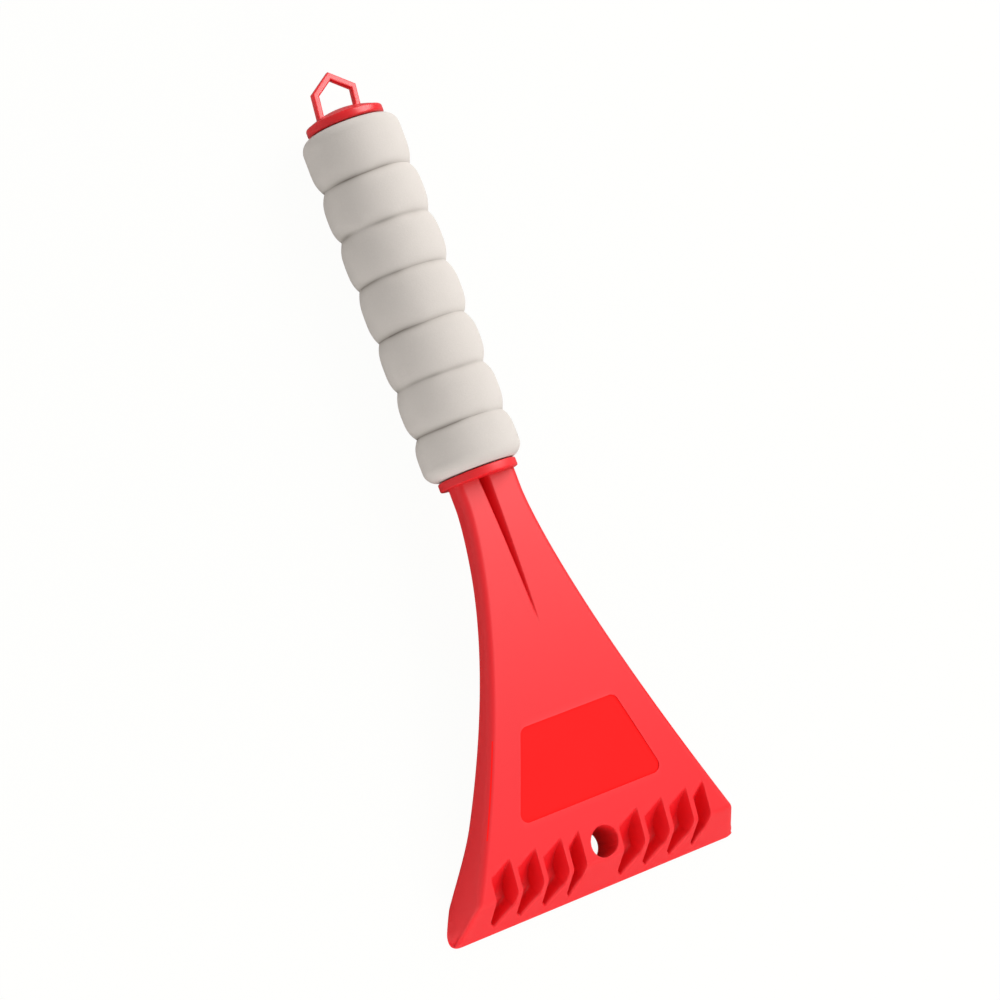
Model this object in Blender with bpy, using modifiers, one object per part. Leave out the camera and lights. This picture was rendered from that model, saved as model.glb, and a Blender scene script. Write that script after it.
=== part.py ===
"""Windshield ice scraper: a moulded fan-shaped scraper head plugged into a tube
handle that wears a ribbed foam sleeve and an end cap with a hanging loop.

Each piece is drawn in the handle's own frame and then hung on one empty:
X runs across the blade, Y along the handle axis towards the hanging loop and
Z out of the blade's front face. The origin of that frame is the centre of the
collar's upper face. The empty lays the finished tool on its back, so that the
foam sleeve and the land behind the cutting edge both touch the plane Z = 0.
"""
import math

import bmesh
import bpy
from mathutils import Euler, Vector

MM = 0.001

# ---- scraper head: fan -------------------------------------------------------
FAN_START = 10.0 * MM            # where the neck begins to widen, below the collar
EDGE_AT = 141.1 * MM             # cutting edge, below the collar's upper face
BEVEL_LENGTH = 10.0 * MM         # from the fold between front face and bevel to the cutting edge
NECK_WIDTH = 23.4 * MM
FOLD_WIDTH = 103.6 * MM
FAN_POWER = 1.47                 # how the width opens between neck and fold
FLARE = 3.0 * MM                 # how far the foot spreads past the fan on each side
FLARE_REACH = 28.0 * MM          # length over which the foot spreads
FLARE_PAST_FOLD = 2.9 * MM       # where the spread is complete, past the fold
CORNER_RADIUS = 6.0 * MM         # rounding of the two ends of the cutting edge
FRONT_FILLET = 2.6 * MM          # rounding of the front face's long edges

# ---- scraper head: side profile ----------------------------------------------
NECK_FRONT = 5.2 * MM            # front face above the handle axis, at the neck
NECK_BACK = 1.4 * MM             # back of the neck, behind the handle axis
FRONT_DROP = 12.4 * MM           # how far the front face falls back by the fold
BACK_START = 32.0 * MM           # where the back begins to swing away
BACK_POWER = 1.8
LAND_LENGTH = 12.7 * MM          # from the heel of the back to the cutting edge
LAND_DEPTH = 23.2 * MM           # land behind the handle axis, at the cutting edge
LIP = 1.0 * MM                   # thickness left at the cutting edge

# ---- scraper head: hollows in the front --------------------------------------
TOOTH_PITCH = 10.05 * MM
TOOTH_RIB = 2.0 * MM             # rib left between two pockets, at the front
END_POCKET = 5.0 * MM            # width of the narrow last pocket of a row
HOLE_TO_LEFT_ROW = 3.75 * MM     # from the hanging hole's rim to the nearest pocket on each side
HOLE_TO_RIGHT_ROW = 1.2 * MM
ROW_MARGIN = 5.0 * MM            # least distance from a row to the side of the front face
POCKET_RADIUS = 17.2 * MM        # arc of a pocket's floor
POCKET_CENTRE_PAST_FOLD = 5.8 * MM
POCKET_CENTRE_DEPTH = 0.6 * MM
POCKET_DRAFT = 0.04              # narrowing of each wall per unit away from the arc's centre
HANG_HOLE_RADIUS = 5.2 * MM
HANG_HOLE_ABOVE_FOLD = 5.0 * MM
RELIEF_MARGIN = 2.4 * MM         # shallow recess behind the hole, wider than it by this much
RELIEF_DEPTH = 2.6 * MM
PANEL_LENGTH = 29.0 * MM
PANEL_ABOVE_FOLD = 19.5 * MM     # from the panel's lower end to the fold
PANEL_TOP_SIDE = 11.9 * MM        # face left beside the panel at its upper end
PANEL_BOTTOM_SIDE = 13.9 * MM    # and at its lower end
PANEL_RADIUS = 2.8 * MM
PANEL_DEPTH = 0.4 * MM
GROOVE_END_AT = 53.0 * MM
GROOVE_WIDTH = 5.0 * MM
GROOVE_DEPTH = 3.6 * MM

# ---- scraper head: coring of the back ----------------------------------------
SKIN = 2.6 * MM                  # wall left behind the front face
SIDE_WALL = 2.4 * MM
CORE_START = 22.0 * MM
CORE_ABOVE_FOLD = 15.1 * MM      # from the hollow's lower end to the fold
SPINE_WIDTH_TOP = 7.6 * MM
SPINE_WIDTH_BOTTOM = 2.4 * MM
CROSS_RIB = 2.2 * MM
CROSS_RIB_SHARES = (0.2553, 0.5, 0.7447)
GUSSET_WIDTH = 5.0 * MM
GUSSET_END_AT = 40.0 * MM

# ---- collar, tube, sleeve and cap --------------------------------------------
COLLAR_DIAMETER = 26.6 * MM
COLLAR_THICKNESS = 2.9 * MM
COLLAR_ROUND = 0.5 * MM
TUBE_DIAMETER = 19.0 * MM
TUBE_WALL = 1.2 * MM
SLEEVE_LENGTH = 119.2 * MM
SLEEVE_DIAMETER = 33.2 * MM
SLEEVE_NOTCH_DEPTH = 1.7 * MM
SLEEVE_NOTCH_POWER = 2.4         # higher is a flatter bulge with a tighter notch
SLEEVE_END_ROUND = 4.0 * MM
BULGES = 7
SPIGOT_LENGTH = 30.0 * MM
SPIGOT_BORE = 10.0 * MM
SPIGOT_FLOOR = 5.0 * MM
PLUG_LENGTH = 18.0 * MM
PLUG_BORE = 11.0 * MM
LEAD_IN = 1.0 * MM               # taper at the tip of a plug
KEY_WIDTH = 1.4 * MM             # crush keys that grip the tube's bore
KEYS = 4
CAP_DIAMETER = 26.2 * MM
CAP_RIM = 3.0 * MM               # thickness of the cap's flange at its rim
CAP_CROWN = 2.0 * MM             # how far the flange's dome rises above the rim
CAP_ROUND = 0.8 * MM

# ---- hanging loop ------------------------------------------------------------
LOOP_WIDTH = 16.8 * MM
LOOP_SHOULDER = 9.7 * MM         # height of the loop's upright sides
LOOP_HEIGHT = 15.6 * MM          # height of the loop's peak
LOOP_BAR = 2.3 * MM
LOOP_THICKNESS = 2.4 * MM
LOOP_BEVEL = 0.65 * MM

# ---- fits --------------------------------------------------------------------
GAP = 0.3 * MM                   # clearance between seated pieces
PLUG_CLEARANCE = 0.3 * MM        # between a plug's keys and the tube's bore
KEY_HEIGHT = 0.5 * MM
OVERCUT = 2.0 * MM               # how far a cutter stands clear of what it cuts

ROUND_STEPS = 48
STATIONS = 26

# ---- sizes that follow from the ones above -----------------------------------
FOLD_AT = EDGE_AT - BEVEL_LENGTH
HEEL_AT = EDGE_AT - LAND_LENGTH
FLARE_END = FOLD_AT + FLARE_PAST_FOLD
FLARE_START = FLARE_END - FLARE_REACH
HANG_HOLE_AT = FOLD_AT - HANG_HOLE_ABOVE_FOLD
POCKET_CENTRE_AT = FOLD_AT + POCKET_CENTRE_PAST_FOLD
PANEL_BOTTOM_AT = FOLD_AT - PANEL_ABOVE_FOLD
PANEL_TOP_AT = PANEL_BOTTOM_AT - PANEL_LENGTH
CORE_END = FOLD_AT - CORE_ABOVE_FOLD
LEFT_ROW_END = -HANG_HOLE_RADIUS - HOLE_TO_LEFT_ROW
RIGHT_ROW_START = HANG_HOLE_RADIUS + HOLE_TO_RIGHT_ROW
SLEEVE_START = GAP
SLEEVE_END = SLEEVE_START + SLEEVE_LENGTH
BULGE_LENGTH = SLEEVE_LENGTH / BULGES
TUBE_START = GAP
TUBE_END = SLEEVE_END
CAP_SEAT = SLEEVE_END + GAP
BORE_RADIUS = TUBE_DIAMETER / 2 - TUBE_WALL
KEY_RADIUS = BORE_RADIUS - PLUG_CLEARANCE
PLUG_RADIUS = KEY_RADIUS - KEY_HEIGHT
LAST_CREST_AT = SLEEVE_END - SLEEVE_END_ROUND
LIE_SLOPE = (LAND_DEPTH - SLEEVE_DIAMETER / 2) / (LAST_CREST_AT + EDGE_AT)
LIE_ANGLE = math.atan(LIE_SLOPE)


# ---- the head's outline and side profile -------------------------------------
def smoothstep(value):
    """Ease from 0 to 1 as the value goes from 0 to 1."""
    value = min(max(value, 0.0), 1.0)
    return value * value * (3.0 - 2.0 * value)


def fan_half_width(at):
    """Half the width of the front face at a distance below the collar."""
    share = max(at - FAN_START, 0.0) / (FOLD_AT - FAN_START)
    return NECK_WIDTH / 2 + (FOLD_WIDTH - NECK_WIDTH) / 2 * share ** FAN_POWER


def foot_half_width(at):
    """Half the width at the back, with the spread foot and its round corners."""
    spread = FLARE * smoothstep((at - FLARE_START) / (FLARE_END - FLARE_START))
    into_corner = at - (EDGE_AT - CORNER_RADIUS)
    trim = 0.0
    if into_corner > 0.0:
        trim = CORNER_RADIUS - math.sqrt(max(CORNER_RADIUS ** 2 - into_corner ** 2, 0.0))
    return fan_half_width(at) + spread - trim


def face_height(at):
    """Height of the front face over the handle axis, down to the fold."""
    share = max(at - FAN_START, 0.0) / (FOLD_AT - FAN_START)
    return NECK_FRONT - FRONT_DROP * share ** 2


def land_height(at):
    """Height of the land, a plane that lies flat when the tool is put down."""
    return -LAND_DEPTH + LIE_SLOPE * (EDGE_AT - at)


def back_height(at):
    """Height of the back: neck, then the swept back, then the flat land."""
    if at >= HEEL_AT:
        return land_height(at)
    share = max(at - BACK_START, 0.0) / (HEEL_AT - BACK_START)
    return -NECK_BACK + (land_height(HEEL_AT) + NECK_BACK) * share ** BACK_POWER


def front_height(at):
    """Height of the front: the face down to the fold, then the bevel to the lip."""
    if at <= FOLD_AT:
        return face_height(at)
    share = (at - FOLD_AT) / (EDGE_AT - FOLD_AT)
    lip_top = land_height(EDGE_AT) + LIP
    return face_height(FOLD_AT) + (lip_top - face_height(FOLD_AT)) * share


def between(start, end, count):
    """Evenly spaced values from start to end, both included."""
    return [start + (end - start) * step / count for step in range(count + 1)]


def row_pockets(room):
    """How many pockets, the last one narrow, fit in a length across the blade."""
    return 1 + max(int((room - END_POCKET) / TOOTH_PITCH), 0)


def pocket_spans():
    """Left wall and width of every pocket, for the rows left and right of the hole."""
    side = FOLD_WIDTH / 2 - ROW_MARGIN
    left_count = row_pockets(side + LEFT_ROW_END)
    right_count = row_pockets(side - RIGHT_ROW_START)
    left_start = LEFT_ROW_END - END_POCKET - (left_count - 1) * TOOTH_PITCH
    spans = []
    for start, count in ((left_start, left_count), (RIGHT_ROW_START, right_count)):
        spans += [(start + number * TOOTH_PITCH, TOOTH_PITCH - TOOTH_RIB) for number in range(count - 1)]
        spans.append((start + (count - 1) * TOOTH_PITCH, END_POCKET))
    return spans


def head_stations():
    """Distances below the collar where the head's section is drawn."""
    body = between(COLLAR_THICKNESS / 2, HEEL_AT, STATIONS)
    foot = between(HEEL_AT, EDGE_AT - CORNER_RADIUS, 4)
    corner_steps = 6
    corner = [
        EDGE_AT - CORNER_RADIUS * (1.0 - math.sin(math.pi / 2 * step / corner_steps))
        for step in range(1, corner_steps + 1)
    ]
    stations = sorted(set(body + foot + corner + [FOLD_AT]))
    return [at for index, at in enumerate(stations) if index == 0 or at - stations[index - 1] > 1e-6]


# ---- modelling helpers -------------------------------------------------------
def collection(name):
    """Make a collection under the scene."""
    made = bpy.data.collections.new(name)
    bpy.context.scene.collection.children.link(made)
    return made


def principled(name, colour, roughness, metallic=0.0):
    """Make a Principled material."""
    material = bpy.data.materials.new(name)
    material.use_nodes = True
    shader = material.node_tree.nodes["Principled BSDF"]
    shader.inputs["Base Color"].default_value = (*colour, 1.0)
    shader.inputs["Roughness"].default_value = roughness
    shader.inputs["Metallic"].default_value = metallic
    return material


def add_object(name, mesh, target):
    """Put a mesh in the scene under the handle's empty."""
    made = bpy.data.objects.new(name, mesh)
    target.objects.link(made)
    made.parent = handle
    return made


def from_bmesh(name, shape, target):
    """Turn a bmesh into an object with its faces pointing out."""
    shape.normal_update()
    bmesh.ops.recalc_face_normals(shape, faces=shape.faces[:])
    mesh = bpy.data.meshes.new(name)
    shape.to_mesh(mesh)
    shape.free()
    return add_object(name, mesh, target)


def as_cutter(cutter):
    """Mark an object as a cutter, which is drawn as wire and never rendered."""
    cutter.hide_render = True
    cutter.display_type = "WIRE"
    return cutter


def loft(name, rings, target):
    """Skin a row of rings that all have the same number of points."""
    shape = bmesh.new()
    rows = [[shape.verts.new(point) for point in ring] for ring in rings]
    count = len(rows[0])
    for upper, lower in zip(rows, rows[1:]):
        for index in range(count):
            following = (index + 1) % count
            shape.faces.new((upper[index], upper[following], lower[following], lower[index]))
    shape.faces.new(rows[0])
    shape.faces.new(rows[-1])
    return from_bmesh(name, shape, target)


def block(name, low, high, target):
    """Make a box from its lowest and highest corners."""
    shape = bmesh.new()
    bmesh.ops.create_cube(shape, size=1.0)
    low = Vector(low)
    high = Vector(high)
    for vert in shape.verts:
        for axis in range(3):
            vert.co[axis] = (low[axis] + high[axis]) / 2 + vert.co[axis] * (high[axis] - low[axis])
    return from_bmesh(name, shape, target)


def drum(name, radius_low, radius_high, low, high, target, steps=ROUND_STEPS):
    """Make a capped cone or cylinder from its lower to its upper end."""
    shape = bmesh.new()
    bmesh.ops.create_cone(
        shape, cap_ends=True, segments=steps, radius1=radius_low, radius2=radius_high, depth=high - low
    )
    bmesh.ops.translate(shape, verts=shape.verts[:], vec=(0.0, 0.0, (low + high) / 2))
    return from_bmesh(name, shape, target)


def turned(name, profile, target):
    """Spin a profile of (radius, along) points round the handle axis.

    A profile that starts and ends on the axis stays open there.
    """
    mesh = bpy.data.meshes.new(name)
    points = [(radius, 0.0, along) for radius, along in profile]
    edges = [(index, index + 1) for index in range(len(points) - 1)]
    if profile[0][0] > 0.0:
        edges.append((len(points) - 1, 0))
    mesh.from_pydata(points, edges, [])
    made = add_object(name, mesh, target)
    screw = made.modifiers.new("spin", "SCREW")
    screw.steps = ROUND_STEPS
    screw.render_steps = ROUND_STEPS
    screw.use_merge_vertices = True
    screw.merge_threshold = 0.01 * MM
    made.rotation_euler = Euler((-math.pi / 2, 0.0, 0.0))
    return made


def boolean(target, cutter, operation):
    """Cut or join an object with another one."""
    step = target.modifiers.new(cutter.name, "BOOLEAN")
    step.operation = operation
    step.solver = "EXACT"
    step.object = cutter


def cut(target, cutter):
    """Take a cutter out of an object."""
    boolean(target, as_cutter(cutter), "DIFFERENCE")


def join(target, extra):
    """Add a piece to an object."""
    boolean(target, as_cutter(extra), "UNION")


def quarter(centre, radius, start_angle, steps=4):
    """Points on a quarter arc, anticlockwise from the start angle."""
    return [
        (
            centre[0] + radius * math.cos(start_angle + math.pi / 2 * step / steps),
            centre[1] + radius * math.sin(start_angle + math.pi / 2 * step / steps),
        )
        for step in range(steps + 1)
    ]


def rounded_outline(corners, radius, steps=5):
    """Round each corner of a convex outline, given anticlockwise, with an arc."""
    outline = []
    count = len(corners)
    for index, corner in enumerate(corners):
        here = Vector(corner)
        before = (Vector(corners[index - 1]) - here).normalized()
        after = (Vector(corners[(index + 1) % count]) - here).normalized()
        half_angle = before.angle(after) / 2
        centre = here + (before + after).normalized() * (radius / math.sin(half_angle))
        start = here + before * (radius / math.tan(half_angle)) - centre
        start_angle = math.atan2(start.y, start.x)
        sweep = math.pi - 2 * half_angle
        for step in range(steps + 1):
            angle = start_angle + sweep * step / steps
            outline.append((centre.x + radius * math.cos(angle), centre.y + radius * math.sin(angle)))
    return outline


def flat_plate(name, outline, low, high, target):
    """Extrude a flat XY outline between two heights."""
    curve = bpy.data.curves.new(name, "CURVE")
    curve.dimensions = "2D"
    curve.fill_mode = "BOTH"
    curve.extrude = (high - low) / 2
    spline = curve.splines.new("POLY")
    spline.points.add(len(outline) - 1)
    for point, (x, y) in zip(spline.points, outline):
        point.co = (x, y, 0.0, 1.0)
    spline.use_cyclic_u = True
    drawn = bpy.data.objects.new(name + "_outline", curve)
    bpy.context.scene.collection.objects.link(drawn)
    drawn.location.z = (low + high) / 2
    bpy.context.view_layer.update()
    evaluated = drawn.evaluated_get(bpy.context.evaluated_depsgraph_get())
    mesh = bpy.data.meshes.new_from_object(evaluated)
    mesh.transform(drawn.matrix_world)
    bpy.data.objects.remove(drawn)
    shape = bmesh.new()
    shape.from_mesh(mesh)
    bpy.data.meshes.remove(mesh)
    bmesh.ops.remove_doubles(shape, verts=shape.verts[:], dist=0.001 * MM)
    return from_bmesh(name, shape, target)


def shade_round(piece, angle=35.0):
    """Shade the drawn mesh smooth except across sharp edges."""
    piece.data.shade_smooth()
    piece.data.set_sharp_from_angle(angle=math.radians(angle))


# ---- scraper head ------------------------------------------------------------
def head_ring(at):
    """Section of the head: flat back, leaning sides and a filleted front."""
    front = front_height(at)
    back = back_height(at)
    half_foot = foot_half_width(at)
    half_front = min(fan_half_width(at), half_foot)
    fillet = min(FRONT_FILLET, (front - back) * 0.8)
    right = [(half_foot, back)] + quarter((half_front - fillet, front - fillet), fillet, 0.0)
    left = [(-x, z) for x, z in reversed(right)]
    return [(x, -at, z) for x, z in right + left]


def core_ring(at):
    """Section of the hollow behind the front face, open at the back."""
    half_width = fan_half_width(at) - SIDE_WALL
    top = face_height(at) - SKIN
    below = back_height(at) - OVERCUT
    return [
        (half_width, -at, below),
        (half_width, -at, top),
        (-half_width, -at, top),
        (-half_width, -at, below),
    ]


def spine_half_width(at):
    """Half the width of the rib that runs down the middle of the back."""
    share = (at - CORE_START) / (CORE_END - CORE_START)
    return (SPINE_WIDTH_TOP + (SPINE_WIDTH_BOTTOM - SPINE_WIDTH_TOP) * share) / 2


def core_cutter():
    """The hollow of the back, with the spine and the cross ribs left standing."""
    hollow = loft("core", [core_ring(at) for at in between(CORE_START, CORE_END, 20)], cutters)
    top = NECK_FRONT + OVERCUT
    below = -LAND_DEPTH - 2 * OVERCUT
    ends = (CORE_START - OVERCUT, CORE_END + OVERCUT)
    spine = loft(
        "spine",
        [
            [
                (spine_half_width(at), -at, below),
                (spine_half_width(at), -at, top),
                (-spine_half_width(at), -at, top),
                (-spine_half_width(at), -at, below),
            ]
            for at in ends
        ],
        cutters,
    )
    cut(hollow, spine)
    reach = FOLD_WIDTH
    for number, share in enumerate(CROSS_RIB_SHARES):
        at = CORE_START + (CORE_END - CORE_START) * share
        rib = block(
            f"cross_rib_{number + 1}",
            (-reach, -at - CROSS_RIB / 2, below),
            (reach, -at + CROSS_RIB / 2, top),
            cutters,
        )
        cut(hollow, rib)
    return hollow


def pocket_cutter(name, left, width):
    """A pocket between two ribs: a wheel whose side faces close in towards its rim."""
    centre_height = -POCKET_CENTRE_DEPTH
    to_fold = math.hypot(POCKET_CENTRE_AT - FOLD_AT, centre_height - face_height(FOLD_AT))
    shape = bmesh.new()
    bmesh.ops.create_cone(
        shape, cap_ends=True, segments=64, radius1=POCKET_RADIUS, radius2=POCKET_RADIUS, depth=1.0
    )
    bmesh.ops.poke(shape, faces=[face for face in shape.faces if len(face.verts) > 4])
    for vert in shape.verts:
        x, y, z = vert.co
        half_width = width / 2 + POCKET_DRAFT * (to_fold - math.hypot(x, y))
        vert.co = (left + width / 2 + math.copysign(half_width, z), x - POCKET_CENTRE_AT, y + centre_height)
    return from_bmesh(name, shape, cutters)


def panel_cutter():
    """A shallow recess with round corners that follows the front face."""
    half_top = fan_half_width(PANEL_TOP_AT) - PANEL_TOP_SIDE
    half_bottom = fan_half_width(PANEL_BOTTOM_AT) - PANEL_BOTTOM_SIDE
    outline = rounded_outline(
        [
            (-half_bottom, -PANEL_BOTTOM_AT),
            (half_bottom, -PANEL_BOTTOM_AT),
            (half_top, -PANEL_TOP_AT),
            (-half_top, -PANEL_TOP_AT),
        ],
        PANEL_RADIUS,
    )
    plate = flat_plate("panel", outline, -LAND_DEPTH, NECK_FRONT, cutters)
    reach = FOLD_WIDTH / 2
    stations = between(PANEL_TOP_AT - OVERCUT, PANEL_BOTTOM_AT + OVERCUT, 14)
    floor = loft(
        "panel_floor",
        [
            [
                (reach, -at, face_height(at) - PANEL_DEPTH),
                (reach, -at, -LAND_DEPTH - 2 * OVERCUT),
                (-reach, -at, -LAND_DEPTH - 2 * OVERCUT),
                (-reach, -at, face_height(at) - PANEL_DEPTH),
            ]
            for at in stations
        ],
        cutters,
    )
    cut(plate, floor)
    return plate


def groove_cutter():
    """A V-shaped groove that starts at the collar and runs out on the neck."""
    slope = GROOVE_WIDTH / 2 / GROOVE_DEPTH
    start = COLLAR_THICKNESS * 0.7
    bottom_start = face_height(start) - GROOVE_DEPTH
    bottom_end = face_height(GROOVE_END_AT)
    rings = []
    for at, bottom in ((start, bottom_start), (GROOVE_END_AT, bottom_end)):
        height = GROOVE_DEPTH + 2 * OVERCUT
        rings.append(
            [
                (0.0, -at, bottom),
                (slope * height, -at, bottom + height),
                (-slope * height, -at, bottom + height),
            ]
        )
    return loft("groove", rings, cutters)


def gusset():
    """A web behind the neck that carries the load into the collar."""
    reach = COLLAR_DIAMETER / 2 - COLLAR_ROUND
    inside = 1.0 * MM
    rings = []
    for side in (-1.0, 1.0):
        x = side * GUSSET_WIDTH / 2
        rings.append(
            [
                (x, -COLLAR_THICKNESS / 2, inside),
                (x, -GUSSET_END_AT, back_height(GUSSET_END_AT) + inside),
                (x, -GUSSET_END_AT, back_height(GUSSET_END_AT) - inside / 4),
                (x, -COLLAR_THICKNESS / 2, -reach),
            ]
        )
    return loft("gusset", rings, cutters)


def rounded_disc(radius, low, high, round_low, round_high):
    """Half-section of a disc with round rims, from the top centre outwards."""
    upper = [(radius - round_high + x, high - round_high + z) for x, z in quarter((0, 0), round_high, 0.0, 3)]
    lower = [(radius - round_low + x, low + round_low + z) for x, z in quarter((0, 0), round_low, -math.pi / 2, 3)]
    return list(reversed(upper)) + list(reversed(lower))


def plug_keys(name, low, high):
    """Crush keys that stand out of a plug, spread round it."""
    shape = bmesh.new()
    root = PLUG_RADIUS - KEY_HEIGHT
    for number in range(KEYS):
        made = bmesh.ops.create_cube(shape, size=1.0)["verts"]
        for vert in made:
            vert.co.x *= KEY_WIDTH
            vert.co.y = (low + high) / 2 + vert.co.y * (high - low)
            vert.co.z = (root + KEY_RADIUS) / 2 + vert.co.z * (KEY_RADIUS - root)
        turn = Euler((0.0, 2 * math.pi * number / KEYS, 0.0)).to_matrix()
        bmesh.ops.rotate(shape, cent=(0.0, 0.0, 0.0), matrix=turn, verts=made)
    return from_bmesh(name, shape, cutters)


def make_head():
    """The moulded scraper head with its collar and spigot."""
    head = loft("scraper_head", [head_ring(at) for at in head_stations()], parts)
    join(head, gusset())
    cut(head, core_cutter())
    cut(head, panel_cutter())
    cut(head, groove_cutter())
    for number, (left, width) in enumerate(pocket_spans()):
        cut(head, pocket_cutter(f"pocket_{number + 1}", left, width))
    hole = drum("hang_hole", HANG_HOLE_RADIUS, HANG_HOLE_RADIUS, -LAND_DEPTH - OVERCUT, NECK_FRONT, cutters)
    hole.location.y = -HANG_HOLE_AT
    cut(head, hole)
    relief_radius = HANG_HOLE_RADIUS + RELIEF_MARGIN
    relief_top = back_height(HANG_HOLE_AT) + RELIEF_DEPTH
    relief = drum("relief", relief_radius, relief_radius, -LAND_DEPTH - OVERCUT, relief_top, cutters)
    relief.location.y = -HANG_HOLE_AT
    cut(head, relief)
    root = turned(
        "collar_and_spigot",
        [
            (0.0, SPIGOT_FLOOR),
            (SPIGOT_BORE / 2, SPIGOT_FLOOR),
            (SPIGOT_BORE / 2, SPIGOT_LENGTH),
            (PLUG_RADIUS - LEAD_IN, SPIGOT_LENGTH),
            (PLUG_RADIUS, SPIGOT_LENGTH - LEAD_IN),
            (PLUG_RADIUS, 0.0),
        ]
        + rounded_disc(COLLAR_DIAMETER / 2, -COLLAR_THICKNESS, 0.0, COLLAR_ROUND, COLLAR_ROUND)
        + [(0.0, -COLLAR_THICKNESS)],
        cutters,
    )
    join(head, root)
    join(head, plug_keys("spigot_keys", -COLLAR_THICKNESS / 2, SPIGOT_LENGTH - 2 * LEAD_IN))
    return head


# ---- handle ------------------------------------------------------------------
def make_tube():
    """The handle's core tube, which seats between the collar and the cap."""
    outer = TUBE_DIAMETER / 2
    profile = [(outer, TUBE_END), (outer, TUBE_START), (BORE_RADIUS, TUBE_START), (BORE_RADIUS, TUBE_END)]
    return turned("handle_tube", profile, parts)


def sleeve_radius(at):
    """Radius of the foam sleeve: a round barrel for each bulge."""
    within = ((at - SLEEVE_START) / BULGE_LENGTH) % 1.0
    return SLEEVE_DIAMETER / 2 - SLEEVE_NOTCH_DEPTH * abs(2.0 * within - 1.0) ** SLEEVE_NOTCH_POWER


def sleeve_profile():
    """Half-section of the sleeve, from its upper end down the outside."""
    steps = 8
    round_steps = 5
    into_end = [
        SLEEVE_END_ROUND * (1.0 - math.cos(math.pi / 2 * step / round_steps)) for step in range(round_steps + 1)
    ]
    low = SLEEVE_START + SLEEVE_END_ROUND + GAP
    high = SLEEVE_END - SLEEVE_END_ROUND - GAP
    middle = [along for along in between(SLEEVE_START, SLEEVE_END, BULGES * steps) if low < along < high]
    stations = [SLEEVE_START + reach for reach in into_end] + middle
    stations += [SLEEVE_END - reach for reach in reversed(into_end)]
    outside = []
    for along in reversed(stations):
        from_end = min(along - SLEEVE_START, SLEEVE_END - along)
        into_round = max(SLEEVE_END_ROUND - from_end, 0.0)
        trim = SLEEVE_END_ROUND - math.sqrt(max(SLEEVE_END_ROUND ** 2 - into_round ** 2, 0.0))
        crest = sleeve_radius(along)
        if from_end < BULGE_LENGTH / 2:
            crest = SLEEVE_DIAMETER / 2
        outside.append((crest - trim, along))
    bore = TUBE_DIAMETER / 2 + GAP
    return outside + [(bore, SLEEVE_START), (bore, SLEEVE_END)]


def make_sleeve():
    """The foam grip sleeve."""
    return turned("foam_grip", sleeve_profile(), parts)


def loop_outline(width, shoulder, peak, base):
    """House-shaped outline of the hanging loop."""
    return [(-width / 2, base), (width / 2, base), (width / 2, shoulder), (0.0, peak), (-width / 2, shoulder)]


def make_cap():
    """The end cap: a domed flange, a plug for the tube and the hanging loop."""
    rim_top = CAP_SEAT + CAP_RIM
    plug_end = CAP_SEAT - PLUG_LENGTH
    dome_steps = 5
    edge = CAP_DIAMETER / 2 - CAP_ROUND
    dome = [
        (edge * step / dome_steps, rim_top + CAP_CROWN * (1.0 - (step / dome_steps) ** 2))
        for step in range(dome_steps)
    ]
    plug = [
        (PLUG_RADIUS, CAP_SEAT),
        (PLUG_RADIUS, plug_end + LEAD_IN),
        (PLUG_RADIUS - LEAD_IN, plug_end),
        (PLUG_BORE / 2, plug_end),
        (PLUG_BORE / 2, CAP_SEAT),
        (0.0, CAP_SEAT),
    ]
    flange = rounded_disc(CAP_DIAMETER / 2, CAP_SEAT, rim_top, CAP_ROUND, CAP_ROUND)
    cap = turned("end_cap", dome + flange + plug, parts)
    join(cap, plug_keys("cap_keys", plug_end + 2 * LEAD_IN, CAP_SEAT + CAP_RIM / 2))
    outer = loop_outline(LOOP_WIDTH, rim_top + LOOP_SHOULDER, rim_top + LOOP_HEIGHT, rim_top - CAP_RIM / 2)
    loop = flat_plate("loop", outer, -LOOP_THICKNESS / 2, LOOP_THICKNESS / 2, cutters)
    roof_slope = math.atan2(LOOP_HEIGHT - LOOP_SHOULDER, LOOP_WIDTH / 2)
    inner_peak = rim_top + LOOP_HEIGHT - LOOP_BAR / math.cos(roof_slope)
    inner_width = LOOP_WIDTH - 2 * LOOP_BAR
    inner_shoulder = inner_peak - inner_width / 2 * math.tan(roof_slope)
    inner = loop_outline(inner_width, inner_shoulder, inner_peak, rim_top - CAP_RIM)
    cut(loop, flat_plate("loop_window", inner, -LOOP_THICKNESS, LOOP_THICKNESS, cutters))
    soften = loop.modifiers.new("soften", "BEVEL")
    soften.width = LOOP_BEVEL
    soften.segments = 1
    soften.limit_method = "ANGLE"
    join(cap, loop)
    return cap


# ---- placing the finished tool -----------------------------------------------
def world_corners(objects):
    """Lowest and highest corners of the evaluated pieces."""
    bpy.context.view_layer.update()
    depsgraph = bpy.context.evaluated_depsgraph_get()
    points = []
    for piece in objects:
        evaluated = piece.evaluated_get(depsgraph)
        mesh = evaluated.to_mesh()
        points.extend(evaluated.matrix_world @ vert.co for vert in mesh.vertices)
        evaluated.to_mesh_clear()
    low = Vector([min(point[axis] for point in points) for axis in range(3)])
    high = Vector([max(point[axis] for point in points) for axis in range(3)])
    return low, high


def lay_down(objects):
    """Lay the tool on its back with the middle of its footprint at the origin."""
    handle.rotation_euler = Euler((-LIE_ANGLE, 0.0, 0.0))
    low, high = world_corners(objects)
    handle.location = Vector((-(low.x + high.x) / 2, -(low.y + high.y) / 2, -low.z))
    bpy.context.view_layer.update()


for stale in list(bpy.data.objects):
    bpy.data.objects.remove(stale, do_unlink=True)

parts = collection("ice_scraper")
cutters = collection("cutters")
handle = bpy.data.objects.new("handle_axis", None)
parts.objects.link(handle)

head_part = make_head()
tube_part = make_tube()
sleeve_part = make_sleeve()
cap_part = make_cap()

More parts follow.
